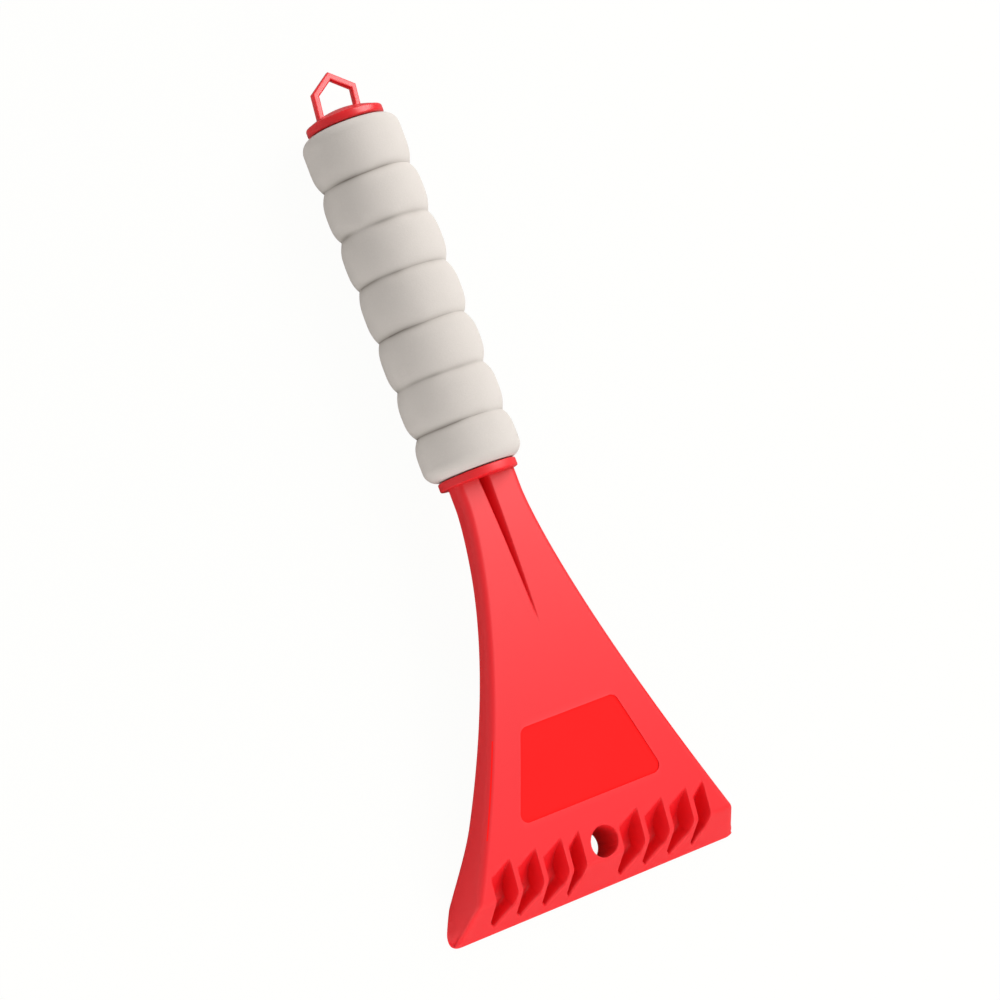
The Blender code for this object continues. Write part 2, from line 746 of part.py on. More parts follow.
head_part.data.materials.append(principled("red_plastic_head", (0.90, 0.045, 0.050), 0.42))
cap_part.data.materials.append(principled("red_plastic_cap", (0.86, 0.040, 0.045), 0.40))
sleeve_part.data.materials.append(principled("foam", (0.72, 0.68, 0.62), 0.95))
tube_part.data.materials.append(principled("tube_metal", (0.62, 0.63, 0.65), 0.35, 1.0))
for piece in (head_part, tube_part, sleeve_part, cap_part):
    shade_round(piece)

lay_down([head_part, tube_part, sleeve_part, cap_part])
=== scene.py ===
"""Looks of a windshield ice scraper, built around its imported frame.

Every piece is drawn in the handle's own axes: x across the blade, y along the
handle towards the hanging loop and z out of the blade's front face, with the
origin at the centre of the collar's upper face. HandleAxes reads from the frame
where those axes lie and moves each finished mesh there. Distances down the
blade are called at, and they grow from the collar to the cutting edge.
"""

import logging
import math
from dataclasses import dataclass, field
from enum import Enum
from typing import ClassVar

import bmesh
import bpy
import numpy as np
from mathutils import Matrix, Vector


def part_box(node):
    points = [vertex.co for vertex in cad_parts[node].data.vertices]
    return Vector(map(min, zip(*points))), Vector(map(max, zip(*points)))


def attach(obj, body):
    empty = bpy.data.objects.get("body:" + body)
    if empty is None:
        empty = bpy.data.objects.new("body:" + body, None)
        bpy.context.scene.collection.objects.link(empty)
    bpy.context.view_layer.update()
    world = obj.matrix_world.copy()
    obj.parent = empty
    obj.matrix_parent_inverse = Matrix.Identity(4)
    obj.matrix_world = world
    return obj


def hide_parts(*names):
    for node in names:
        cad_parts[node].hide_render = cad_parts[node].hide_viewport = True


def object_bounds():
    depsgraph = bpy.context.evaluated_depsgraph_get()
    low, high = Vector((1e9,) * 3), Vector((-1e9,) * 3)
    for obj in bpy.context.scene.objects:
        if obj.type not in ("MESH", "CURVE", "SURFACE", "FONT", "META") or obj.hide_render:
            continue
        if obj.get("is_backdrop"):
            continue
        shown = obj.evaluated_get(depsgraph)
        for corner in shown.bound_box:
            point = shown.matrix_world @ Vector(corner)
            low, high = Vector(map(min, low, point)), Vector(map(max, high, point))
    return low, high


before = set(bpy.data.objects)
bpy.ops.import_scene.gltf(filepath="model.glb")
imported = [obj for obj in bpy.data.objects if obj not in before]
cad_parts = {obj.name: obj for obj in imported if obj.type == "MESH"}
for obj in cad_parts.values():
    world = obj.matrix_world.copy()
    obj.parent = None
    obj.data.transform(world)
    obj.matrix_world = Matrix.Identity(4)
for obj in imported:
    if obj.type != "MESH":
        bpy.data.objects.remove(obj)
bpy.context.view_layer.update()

LOG = logging.getLogger("ice_scraper")
MM = 0.001
SEAT_GAP = 0.3 * MM    # clearance between seated pieces
SHARP_FROM = 38.0      # edges of the mouldings that turn more than this many degrees stay sharp
ROUND_STEPS = 160      # steps round a turned moulding

Piece = bpy.types.Object
Material = bpy.types.Material
Socket = bpy.types.NodeSocket
Spot = tuple[float, float]
Place = tuple[float, float, float]
Colour = tuple[float, float, float]
Face = tuple[int, ...]


class Node(Enum):
    """The nodes of the frame that the pieces stand for or dress."""

    HEAD = "scraper_head"
    TUBE = "handle_tube"
    GRIP = "foam_grip"
    CAP = "end_cap"


class Slot(Enum):
    """Material slot names for the new pieces; nothing in this script uses them."""

    HEAD = "red_plastic_head"
    CAP = "red_plastic_cap"
    FOAM = "foam"


class Operation(Enum):
    """What a Boolean does with its cutter."""

    CUT = "DIFFERENCE"
    JOIN = "UNION"


# ---- axes ----------------------------------------------------------------------
@dataclass(frozen=True)
class HandleAxes:
    """Where the handle's own axes lie in the model.

    Attributes:
        origin: centre of the collar's upper face.
        tilt: how far the loop end of the handle leans down, in radians.
        tube_radius: outer radius of the tube in the handle.
        tube_length: length of that tube.
    """

    origin: Vector
    tilt: float
    tube_radius: float
    tube_length: float

    @classmethod
    def from_tube(cls) -> "HandleAxes":
        """Work the axes out from the box of the handle's tube, which holds both its length and its tilt.

        Returns:
            The axes.
        """
        low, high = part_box(Node.TUBE.value)
        size = high - low
        tilt = 0.0
        length = size.y
        enough_rounds = 12
        for _ in range(enough_rounds):
            length = (size.y - size.x * math.sin(tilt)) / math.cos(tilt)
            tilt = math.asin((size.z - size.x * math.cos(tilt)) / length)
        along = Vector((0.0, math.cos(tilt), -math.sin(tilt)))
        origin = (low + high) / 2 - along * (length / 2 + SEAT_GAP)
        return cls(origin, tilt, size.x / 2, length)

    def matrix(self) -> Matrix:
        """The move from the handle's axes to the model."""
        return Matrix.Translation(self.origin) @ Matrix.Rotation(-self.tilt, 4, "X")

    def inside(self, point: Vector) -> Vector:
        """A point of the model in the handle's axes."""
        return self.matrix().inverted() @ point


# ---- curves and surfaces ---------------------------------------------------------
def smoothstep(value: np.ndarray) -> np.ndarray:
    """Ease from 0 to 1 as the value goes from 0 to 1."""
    value = np.clip(value, 0.0, 1.0)
    return value * value * (3.0 - 2.0 * value)


def smooth_low(first: np.ndarray, second: np.ndarray, reach: float) -> np.ndarray:
    """The lower of two heights, with the crease between them rounded.

    Args:
        first: one height.
        second: the other height.
        reach: height difference at which the rounding starts.

    Returns:
        The blended height.
    """
    share = np.clip(0.5 + 0.5 * (second - first) / reach, 0.0, 1.0)
    return second * (1.0 - share) + first * share - reach * share * (1.0 - share)


def quarter_arc(centre: Spot, radius: float, start: float, steps: int) -> list[Spot]:
    """Points on a quarter circle, anticlockwise.

    Args:
        centre: the circle's centre.
        radius: its radius.
        start: the first point's angle, in radians.
        steps: number of steps along the arc.

    Returns:
        The points, both ends included.
    """
    angles = start + np.linspace(0.0, math.pi / 2, steps + 1)
    return [(centre[0] + radius * math.cos(a), centre[1] + radius * math.sin(a)) for a in angles]


def grid_faces(rows: int, columns: int, wrap: bool = True) -> list[Face]:
    """Quads over a grid of points that is stored row by row.

    Args:
        rows: number of rows.
        columns: number of points in a row.
        wrap: whether the last column joins the first.

    Returns:
        The faces as tuples of point numbers.
    """
    faces = []
    for row in range(rows - 1):
        for column in range(columns if wrap else columns - 1):
            following = (column + 1) % columns
            here = row * columns
            below = here + columns
            faces.append((here + column, here + following, below + following, below + column))
    return faces


# ---- objects ----------------------------------------------------------------------
def mesh_object(name: str, points: np.ndarray, faces: list[Face]) -> Piece:
    """Make an object from points and faces, with its faces pointing out.

    Args:
        name: the object's name.
        points: one row of x, y, z for each point.
        faces: the faces as tuples of point numbers.

    Returns:
        The object, linked to the scene.
    """
    mesh = bpy.data.meshes.new(name)
    mesh.from_pydata([tuple(point) for point in points], [], faces)
    shape = bmesh.new()
    shape.from_mesh(mesh)
    shape.normal_update()
    bmesh.ops.recalc_face_normals(shape, faces=shape.faces[:])
    shape.to_mesh(mesh)
    shape.free()
    made = bpy.data.objects.new(name, mesh)
    bpy.context.scene.collection.objects.link(made)
    return made


def lofted(name: str, rings: list[list[Place]]) -> Piece:
    """Skin a row of rings with equal numbers of points and close both ends.

    Args:
        name: the object's name.
        rings: the rings, from one end to the other.

    Returns:
        The object.
    """
    count = len(rings[0])
    faces = grid_faces(len(rings), count)
    faces.append(tuple(range(count)))
    faces.append(tuple(range(count * (len(rings) - 1), count * len(rings))))
    return mesh_object(name, np.array(rings, float).reshape(-1, 3), faces)


def turned(name: str, profile: list[Spot], steps: int) -> Piece:
    """Spin a closed profile of (radius, along) points round the handle's axis.

    Args:
        name: the object's name.
        profile: the points; one on the axis becomes a single pole.
        steps: number of steps round the axis.

    Returns:
        The object.
    """
    points: list[Place] = []
    rings: list[list[int]] = []
    for radius, along in profile:
        first = len(points)
        if radius < 1e-9:
            points.append((0.0, along, 0.0))
            rings.append([first] * steps)
            continue
        for step in range(steps):
            angle = 2 * math.pi * step / steps
            points.append((radius * math.cos(angle), along, radius * math.sin(angle)))
        rings.append(list(range(first, first + steps)))
    faces = []
    for index, ring in enumerate(rings):
        other = rings[(index + 1) % len(rings)]
        for step in range(steps):
            following = (step + 1) % steps
            corners = [ring[step], ring[following], other[following], other[step]]
            corners = [corner for place, corner in enumerate(corners) if corner not in corners[:place]]
            if len(corners) > 2:
                faces.append(tuple(corners))
    return mesh_object(name, np.array(points), faces)


def set_values(piece: Piece, name: str, values: np.ndarray) -> None:
    """Store one number for each point of a mesh.

    Args:
        piece: the mesh object.
        name: the attribute's name.
        values: one number for each point.
    """
    attribute = piece.data.attributes.new(name, "FLOAT", "POINT")
    attribute.data.foreach_set("value", np.asarray(values, np.float32).ravel())


def baked(piece: Piece, used: list[Piece]) -> None:
    """Turn a piece and its modifiers into a plain mesh.

    Args:
        piece: the object; it keeps its name and loses its modifiers.
        used: cutters and guides to remove afterwards.
    """
    bpy.context.view_layer.update()
    evaluated = piece.evaluated_get(bpy.context.evaluated_depsgraph_get())
    mesh = bpy.data.meshes.new_from_object(evaluated)
    piece.modifiers.clear()
    piece.data = mesh
    for helper in used:
        bpy.data.objects.remove(helper, do_unlink=True)


def combine(piece: Piece, cutter: Piece, operation: Operation) -> None:
    """Cut or join a piece with another object.

    Args:
        piece: the object that changes.
        cutter: the other object.
        operation: what to do with it.
    """
    step = piece.modifiers.new(cutter.name, "BOOLEAN")
    step.operation = operation.value
    step.solver = "EXACT"
    step.object = cutter


def finished(
    piece: Piece, axes: HandleAxes, material: Material, node: Node, sharp_from: float = SHARP_FROM
) -> Piece:
    """Move a mesh to its place in the model, shade it, dress it and hang it on the frame.

    Args:
        piece: the mesh object, drawn in the handle's axes.
        axes: the handle's axes.
        material: its material.
        node: the frame's node that the piece stands for.
        sharp_from: edges that turn more than this many degrees stay sharp.

    Returns:
        The finished piece.
    """
    piece.data.transform(axes.matrix())
    piece.data.shade_smooth()
    piece.data.set_sharp_from_angle(angle=math.radians(sharp_from))
    piece.data.materials.clear()
    piece.data.materials.append(material)
    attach(piece, "root")
    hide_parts(node.value)
    LOG.info("%s: %d points, %d faces", piece.name, len(piece.data.vertices), len(piece.data.polygons))
    return piece


# ---- node trees ------------------------------------------------------------------------
@dataclass
class NamedTree:
    """A node group with named inputs, and the nodes that its rules are made of.

    Attributes:
        kind: the type of node tree.
        name: the tree's name.
        tree: the node tree.
        entry: the group's input node.
        leave: the group's output node.
        sockets: identifier of each named input.
    """

    kind: ClassVar[str] = "ShaderNodeTree"
    name: str
    tree: bpy.types.NodeTree = field(init=False)
    entry: bpy.types.Node = field(init=False)
    leave: bpy.types.Node = field(init=False)
    sockets: dict[str, str] = field(init=False, default_factory=dict)

    def __post_init__(self) -> None:
        """Make the empty tree with its input and output nodes."""
        self.tree = bpy.data.node_groups.new(self.name, self.kind)
        self.entry = self.tree.nodes.new("NodeGroupInput")
        self.leave = self.tree.nodes.new("NodeGroupOutput")

    def takes(self, name: str, kind: str, default: float | None = None) -> Socket:
        """Add a named input.

        Args:
            name: the input's name.
            kind: its socket type.
            default: its default value, if it has one.

        Returns:
            The socket that gives the value inside the tree.
        """
        made = self.tree.interface.new_socket(name, in_out="INPUT", socket_type=kind)
        if default is not None:
            made.default_value = default
        self.sockets[name] = made.identifier
        return self.entry.outputs[name]

    def size(self, name: str, default: float = 0.0) -> Socket:
        """Add a named number."""
        return self.takes(name, "NodeSocketFloat", default)

    def feed(self, socket: Socket, value: object) -> None:
        """Link a socket to another, or set its value.

        Args:
            socket: the socket.
            value: the other socket, or the value.
        """
        if isinstance(value, Socket):
            self.tree.links.new(value, socket)
        else:
            socket.default_value = value

    def math(self, operation: str, *values: object, clamp: bool = False) -> Socket:
        """A Math node.

        Args:
            operation: the node's operation.
            values: its inputs, sockets or numbers.
            clamp: whether the result stays between 0 and 1.

        Returns:
            The result's socket.
        """
        node = self.tree.nodes.new("ShaderNodeMath")
        node.operation = operation
        node.use_clamp = clamp
        for socket, value in zip(node.inputs, values):
            self.feed(socket, value)
        return node.outputs["Value"]

    def plus(self, first: object, second: object) -> Socket:
        """The sum of two numbers."""
        return self.math("ADD", first, second)

    def minus(self, first: object, second: object) -> Socket:
        """The first number less the second."""
        return self.math("SUBTRACT", first, second)

    def times(self, first: object, second: object) -> Socket:
        """The product of two numbers."""
        return self.math("MULTIPLY", first, second)

    def noise(self, place: object, scale: object, detail: float = 1.0, seed: object = None) -> Socket:
        """Smooth noise between 0 and 1.

        Args:
            place: where it is read.
            scale: its scale.
            detail: how fine it is.
            seed: what tells it from another noise of the same scale, if anything does.

        Returns:
            The noise's socket.
        """
        node = self.tree.nodes.new("ShaderNodeTexNoise")
        if seed is not None:
            node.noise_dimensions = "4D"
            self.feed(node.inputs["W"], seed)
        self.feed(node.inputs["Vector"], place)
        self.feed(node.inputs["Scale"], scale)
        node.inputs["Detail"].default_value = detail
        return node.outputs["Fac"]


# ---- geometry node trees -------------------------------------------------------------
@dataclass
class ShapeRule(NamedTree):
    """A Geometry Nodes tree that moves the points of a mesh by a rule."""

    kind: ClassVar[str] = "GeometryNodeTree"

    def __post_init__(self) -> None:
        """Make the empty tree with its geometry input and output."""
        super().__post_init__()
        for way in ("INPUT", "OUTPUT"):
            self.tree.interface.new_socket("Geometry", in_out=way, socket_type="NodeSocketGeometry")

    def stored(self, name: str) -> Socket:
        """A number stored on the mesh's points.

        Args:
            name: the attribute's name.

        Returns:
            Its socket.
        """
        node = self.tree.nodes.new("GeometryNodeInputNamedAttribute")
        node.data_type = "FLOAT"
        node.inputs["Name"].default_value = name
        return node.outputs["Attribute"]

    def eased(self, value: object, low: object, high: object) -> Socket:
        """Ease from 0 to 1 as a value goes from low to high.

        Args:
            value: the value.
            low: where the easing starts.
            high: where it ends.

        Returns:
            The result's socket.
        """
        node = self.tree.nodes.new("ShaderNodeMapRange")
        node.interpolation_type = "SMOOTHSTEP"
        for name, given in (("Value", value), ("From Min", low), ("From Max", high)):
            self.feed(node.inputs[name], given)
        return node.outputs["Result"]

    def close(self, x: object, y: object, z: object) -> None:
        """Move the points, realize instances and set the material, which becomes the last input.

        Args:
            x: how far each point moves across the blade.
            y: how far it moves along the handle.
            z: how far it moves out of the blade's face.
        """
        offset = self.tree.nodes.new("ShaderNodeCombineXYZ")
        for socket, value in zip(offset.inputs, (x, y, z)):
            self.feed(socket, value)
        move = self.tree.nodes.new("GeometryNodeSetPosition")
        realize = self.tree.nodes.new("GeometryNodeRealizeInstances")
        paint = self.tree.nodes.new("GeometryNodeSetMaterial")
        self.feed(move.inputs["Offset"], offset.outputs["Vector"])
        self.feed(paint.inputs["Material"], self.takes("Material", "NodeSocketMaterial"))
        chain = [self.entry, move, realize, paint, self.leave]
        for source, target in zip(chain, chain[1:]):
            self.tree.links.new(source.outputs["Geometry"], target.inputs["Geometry"])

    def apply_to(self, piece: Piece, values: dict[str, object]) -> None:
        """Put the tree on a piece.

        Args:
            piece: the object.
            values: a value for each named input.
        """
        step = piece.modifiers.new(self.name, "NODES")
        step.node_group = self.tree
        for name, value in values.items():
            step[self.sockets[name]] = value


def tooth_row_rule() -> ShapeRule:
    """The rule that presses a row of pockets between ribs into the blade's front.

    Each point brings its place across the blade, its distance from the collar
    and the depth of material under it. The rule finds the pocket that the point
    belongs to. A pocket starts on a slant, its right side nearer the collar, and
    runs out in a point towards the cutting edge, left of its middle.

    Returns:
        The rule.
    """
    rule = ShapeRule("tooth_row")
    start = rule.size("Start")
    pitch = rule.size("Pitch")
    rib = rule.size("Rib Width")
    last = rule.size("Last Pocket Width")
    lanes = rule.size("Pockets")
    crest = rule.size("Crest Rounding")
    root = rule.size("Root Rounding")
    depth = rule.size("Depth")
    top = rule.size("Top")
    top_skew = rule.size("Top Skew")
    top_run = rule.size("Top Run")
    top_power = rule.size("Top Power")
    bottom = rule.size("Bottom")
    bottom_skew = rule.size("Bottom Skew")
    bottom_run = rule.size("Bottom Run")
    tip = rule.size("Tip Place")
    tip_rise = rule.size("Tip Rise")
    across = rule.stored("lane_x")
    station = rule.stored("station")
    highest = rule.minus(lanes, 1.0)
    lane = rule.math("FLOOR", rule.math("DIVIDE", rule.minus(across, start), pitch))
    lane = rule.math("MAXIMUM", rule.math("MINIMUM", lane, highest), 0.0)
    is_last = rule.math("COMPARE", lane, highest, 0.5)
    full = rule.minus(pitch, rib)
    narrowing = rule.times(is_last, rule.minus(last, full))
    half = rule.times(rule.plus(full, narrowing), 0.5)
    centre = rule.plus(rule.math("MULTIPLY_ADD", lane, pitch, start), half)
    off_centre = rule.minus(across, centre)
    inner = rule.minus(half, root)
    outer = rule.plus(half, crest)
    share = rule.minus(1.0, rule.eased(rule.math("ABSOLUTE", off_centre), inner, outer))
    side = rule.math("MULTIPLY_ADD", rule.math("DIVIDE", off_centre, half), 0.5, 0.5, clamp=True)
    begin = rule.minus(top, rule.times(side, top_skew))
    past_tip = rule.math("MAXIMUM", rule.minus(side, tip), 0.0)
    before_tip = rule.math("MAXIMUM", rule.minus(tip, side), 0.0)
    right_rise = rule.times(past_tip, bottom_skew)
    left_rise = rule.times(before_tip, tip_rise)
    end = rule.minus(bottom, rule.plus(right_rise, left_rise))
    entering = rule.math("POWER", rule.eased(station, begin, rule.plus(begin, top_run)), top_power)
    leaving = rule.eased(station, rule.minus(end, bottom_run), end)
    kept = rule.times(entering, rule.minus(1.0, leaving))
    sunk = rule.math("MINIMUM", rule.times(kept, depth), rule.stored("room"))
    drop = rule.times(rule.times(share, sunk), -1.0)
    rule.close(0.0, 0.0, drop)
    return rule


def bulge_rule() -> ShapeRule:
    """The rule that gathers a plain foam tube into soft bulges.

    Each point brings its place in its bulge, from -1 at one crease over 0 at
    the crest to 1 at the next crease, and whether it is on the outer skin.

    Returns:
        The rule.
    """
    rule = ShapeRule("foam_bulges")
    notch = rule.size("Crease Depth")
    power = rule.size("Crease Sharpness")
    pinch = rule.size("Pinching")
    pinch_scale = rule.size("Pinch Scale")
    sway = rule.size("Crease Sway")
    dent = rule.size("Unevenness")
    dent_scale = rule.size("Unevenness Scale")
    seed = rule.size("Seed")
    place = rule.tree.nodes.new("GeometryNodeInputPosition").outputs["Position"]
    apart = rule.tree.nodes.new("ShaderNodeSeparateXYZ")
    rule.tree.links.new(place, apart.inputs["Vector"])
    x, z = apart.outputs["X"], apart.outputs["Z"]
    radius = rule.math("SQRT", rule.plus(rule.times(x, x), rule.times(z, z)))
    radius = rule.math("MAXIMUM", radius, 1e-6)
    skin = rule.stored("skin")
    phase = rule.math("ABSOLUTE", rule.stored("bulge_phase"))
    fold = rule.math("POWER", phase, power)
    folds = rule.minus(rule.noise(place, pinch_scale, seed=seed), 0.5)
    deepening = rule.math("MULTIPLY_ADD", folds, pinch, 1.0)
    sink = rule.times(rule.times(fold, notch), deepening)
    hollow = rule.minus(rule.noise(place, dent_scale, seed=rule.plus(seed, 5.0)), 0.5)
    swell = rule.minus(rule.times(hollow, dent), sink)
    swell = rule.times(swell, skin)
    lean = rule.minus(rule.noise(place, dent_scale, seed=rule.plus(seed, 9.0)), 0.5)
    lean = rule.times(rule.times(lean, sway), rule.times(skin, fold))
    out_x = rule.times(rule.math("DIVIDE", x, radius), swell)
    out_z = rule.times(rule.math("DIVIDE", z, radius), swell)
    rule.close(out_x, lean, out_z)
    return rule


# ---- finishes ------------------------------------------------------------------------
@dataclass
class EffectGroup(NamedTree):
    """A shader node group for an effect that several materials share."""

    def colour(self, name: str) -> Socket:
        """Add a named colour."""
        return self.takes(name, "NodeSocketColor")

    def gives(self, name: str, kind: str, source: Socket) -> None:
        """Add a named result.

        Args:
            name: the result's name.
            kind: its socket type.
            source: the socket that it comes from.
        """
        self.tree.interface.new_socket(name, in_out="OUTPUT", socket_type=kind)
        self.tree.links.new(source, self.leave.inputs[name])

    def place(self) -> Socket:
        """The object's own coordinates."""
        return self.tree.nodes.new("ShaderNodeTexCoord").outputs["Object"]

    def mixed(self, share: object, first: object, second: object) -> Socket:
        """A mix of two colours.

        Args:
            share: how much of the second colour there is.
            first: one colour.
            second: the other colour.

        Returns:
            The mix's socket.
        """
        node = self.tree.nodes.new("ShaderNodeMix")
        node.data_type = "RGBA"
        self.feed(node.inputs["Factor"], share)
        self.feed(node.inputs["A"], first)
        self.feed(node.inputs["B"], second)
        return node.outputs["Result"]


def moulding_grain_group() -> EffectGroup:
    """Fine grain of a moulded surface with a slow drift of tone and gloss.

    Returns:
        The group.
    """
    group = EffectGroup("moulding_grain")
    tint = group.colour("Tint")
    shade = group.colour("Shade")
    grain_scale = group.size("Grain Scale", 2600.0)
    drift_scale = group.size("Drift Scale", 55.0)
    drift = group.size("Drift", 0.5)
    rough = group.size("Roughness", 0.45)
    spread = group.size("Roughness Spread", 0.06)
    place = group.place()
    slow = group.minus(group.noise(place, drift_scale, 2.0), 0.5)
    fine = group.noise(place, grain_scale, 1.0)
    share = group.math("MULTIPLY_ADD", slow, drift, 0.5, clamp=True)
    group.gives("Colour", "NodeSocketColor", group.mixed(share, tint, shade))
    uneven = group.times(group.plus(slow, group.minus(fine, 0.5)), spread)
    group.gives("Roughness", "NodeSocketFloat", group.plus(rough, uneven))
    group.gives("Height", "NodeSocketFloat", fine)
    return group


def foam_cell_group() -> EffectGroup:
    """Closed cells of foam rubber: tiny dimples with darker pits, and painted shade deep in the creases.

    Returns:
        The group.
    """
    group = EffectGroup("foam_cells")
    tint = group.colour("Tint")
    pit = group.colour("Pit")
    crease_shade_tone = group.colour("Crease Shade Tone")
    crease_shade_mask = group.size("Crease Shade Mask", 0.0)
    cell_scale = group.size("Cell Scale", 1900.0)
    mottle_scale = group.size("Mottle Scale", 160.0)
    patch_scale = group.size("Patch Scale", 70.0)
    patch_contrast = group.size("Patch Contrast", 3.0)
    patch_start = group.size("Patch Start", -0.8)
    pits = group.size("Pits", 0.25)
    rough = group.size("Roughness", 0.9)
    spread = group.size("Roughness Spread", 0.12)
    place = group.place()
    cells = group.tree.nodes.new("ShaderNodeTexVoronoi")
    group.feed(cells.inputs["Vector"], place)
    group.feed(cells.inputs["Scale"], cell_scale)
    wall = cells.outputs["Distance"]
    mottle = group.noise(place, mottle_scale, 3.0)
    dark = group.times(group.math("SUBTRACT", 1.0, wall, clamp=True), mottle)
    skin = group.mixed(group.times(dark, pits), tint, pit)
    patches = group.noise(place, patch_scale)
    patches = group.math("MULTIPLY_ADD", patches, patch_contrast, patch_start, clamp=True)
    # painted shade: the crease mask, broken into patches, mixes in the dark crease tone
    shaded = group.times(crease_shade_mask, patches)
    group.gives("Colour", "NodeSocketColor", group.mixed(shaded, skin, crease_shade_tone))
    uneven = group.times(group.minus(mottle, 0.5), spread)
    group.gives("Roughness", "NodeSocketFloat", group.plus(rough, uneven))
    group.gives("Height", "NodeSocketFloat", group.plus(wall, mottle))
    return group


def edge_light_group() -> EffectGroup:
    """Painted highlight: a lighter tone where the surface bulges out.

    Returns:
        The group.
    """
    group = EffectGroup("edge_light")
    under = group.colour("Colour")
    edge_highlight = group.colour("Edge Highlight")
    amount = group.size("Amount", 0.3)
    contrast = group.size("Contrast", 14.0)
    bulge = group.tree.nodes.new("ShaderNodeNewGeometry").outputs["Pointiness"]
    # painted highlight, lighter on every convex edge
    share = group.math("MULTIPLY", group.minus(bulge, 0.5), contrast, clamp=True)
    share = group.times(share, amount)
    group.gives("Colour", "NodeSocketColor", group.mixed(share, under, edge_highlight))
    return group


def drawn_lines_group() -> EffectGroup:
    """Fine lines left round a drawn metal tube.

    Returns:
        The group.
    """
    group = EffectGroup("drawn_lines")
    tint = group.colour("Tint")
    shade = group.colour("Shade")
    scale = group.size("Line Scale", 40.0)
    rough = group.size("Roughness", 0.3)
    spread = group.size("Roughness Spread", 0.15)
    stretch = group.tree.nodes.new("ShaderNodeMapping")
    stretch.inputs["Scale"].default_value = (40.0, 1.0, 40.0)
    group.feed(stretch.inputs["Vector"], group.place())
    lines = group.noise(stretch.outputs["Vector"], scale, 4.0)
    group.gives("Colour", "NodeSocketColor", group.mixed(lines, tint, shade))
    group.gives("Roughness", "NodeSocketFloat", group.math("MULTIPLY_ADD", lines, spread, rough))
    group.gives("Height", "NodeSocketFloat", lines)
    return group


@dataclass
class Effects:
    """The shared shader groups."""

    grain: EffectGroup = field(default_factory=moulding_grain_group)
    cells: EffectGroup = field(default_factory=foam_cell_group)
    edges: EffectGroup = field(default_factory=edge_light_group)
    lines: EffectGroup = field(default_factory=drawn_lines_group)


def add_group(material: Material, group: EffectGroup, values: dict[str, object]) -> bpy.types.Node:
    """Put an effect in a material.

    Args:
        material: the material.
        group: the effect.
        values: a value or a socket for each input that isn't left as it is.

    Returns:
        The group's node.
    """
    node = material.node_tree.nodes.new("ShaderNodeGroup")
    node.node_tree = group.tree
    for name, value in values.items():
        if isinstance(value, Socket):
            material.node_tree.links.new(value, node.inputs[name])
        else:
            node.inputs[name].default_value = (*value, 1.0) if isinstance(value, tuple) else value
    return node


@dataclass(frozen=True)
class Relief:
    """How far an effect's height raises a surface.

    Attributes:
        strength: how strongly it shows.
        height: the real height, in metres.
    """

    strength: float
    height: float

    def surface(self, material: Material, colour: Socket, effect: bpy.types.Node) -> None:
        """Feed a material's colour, roughness and bump.

        Args:
            material: the material.
            colour: the colour's socket.
            effect: the effect that gives the roughness and the height.
        """
        nodes = material.node_tree.nodes
        links = material.node_tree.links
        shader = nodes["Principled BSDF"]
        bump = nodes.new("ShaderNodeBump")
        bump.inputs["Strength"].default_value = self.strength
        bump.inputs["Distance"].default_value = self.height
        links.new(colour, shader.inputs["Base Color"])
        links.new(effect.outputs["Roughness"], shader.inputs["Roughness"])
        links.new(effect.outputs["Height"], bump.inputs["Height"])
        links.new(bump.outputs["Normal"], shader.inputs["Normal"])


def new_material(name: str) -> tuple[Material, bpy.types.ShaderNode]:
    """Make a material with a Principled shader.

    Args:
        name: the material's name.

    Returns:
        The material and the shader.
    """
    material = bpy.data.materials.new(name)
    material.use_nodes = True
    return material, material.node_tree.nodes["Principled BSDF"]


@dataclass(frozen=True)
class MouldedPlastic:
    """Satin moulded polypropylene.

    Attributes:
        name: the material's name.
        tint: its colour.
        shade: its deeper tone.
        edge_highlight: its painted highlight tone on edges that bulge out.
        roughness: its roughness.
        specular: strength of its reflections.
        edge_highlight_share: how much the painted edge highlight shows.
        grain: its surface grain.
    """

    name: str
    tint: Colour = (0.745, 0.009, 0.0145)
    shade: Colour = (0.715, 0.007, 0.012)
    # painted highlight tone for convex edges
    edge_highlight: Colour = (0.96, 0.05, 0.055)
    roughness: float = 0.46
    specular: float = 0.5
    edge_highlight_share: float = 0.35
    grain: Relief = Relief(0.25, 0.02 * MM)

    def build(self, effects: Effects) -> Material:
        """Make the material.

        Args:
            effects: the shared shader groups.

        Returns:
            The material.
        """
        material, shader = new_material(self.name)
        values = {"Tint": self.tint, "Shade": self.shade, "Roughness": self.roughness}
        grain = add_group(material, effects.grain, values)
        # painted highlight on the convex edges
        values = {"Colour": grain.outputs["Colour"], "Edge Highlight": self.edge_highlight, "Amount": self.edge_highlight_share}
        edges = add_group(material, effects.edges, values)
        shader.inputs["Specular IOR Level"].default_value = self.specular
        self.grain.surface(material, edges.outputs["Colour"], grain)
        return material


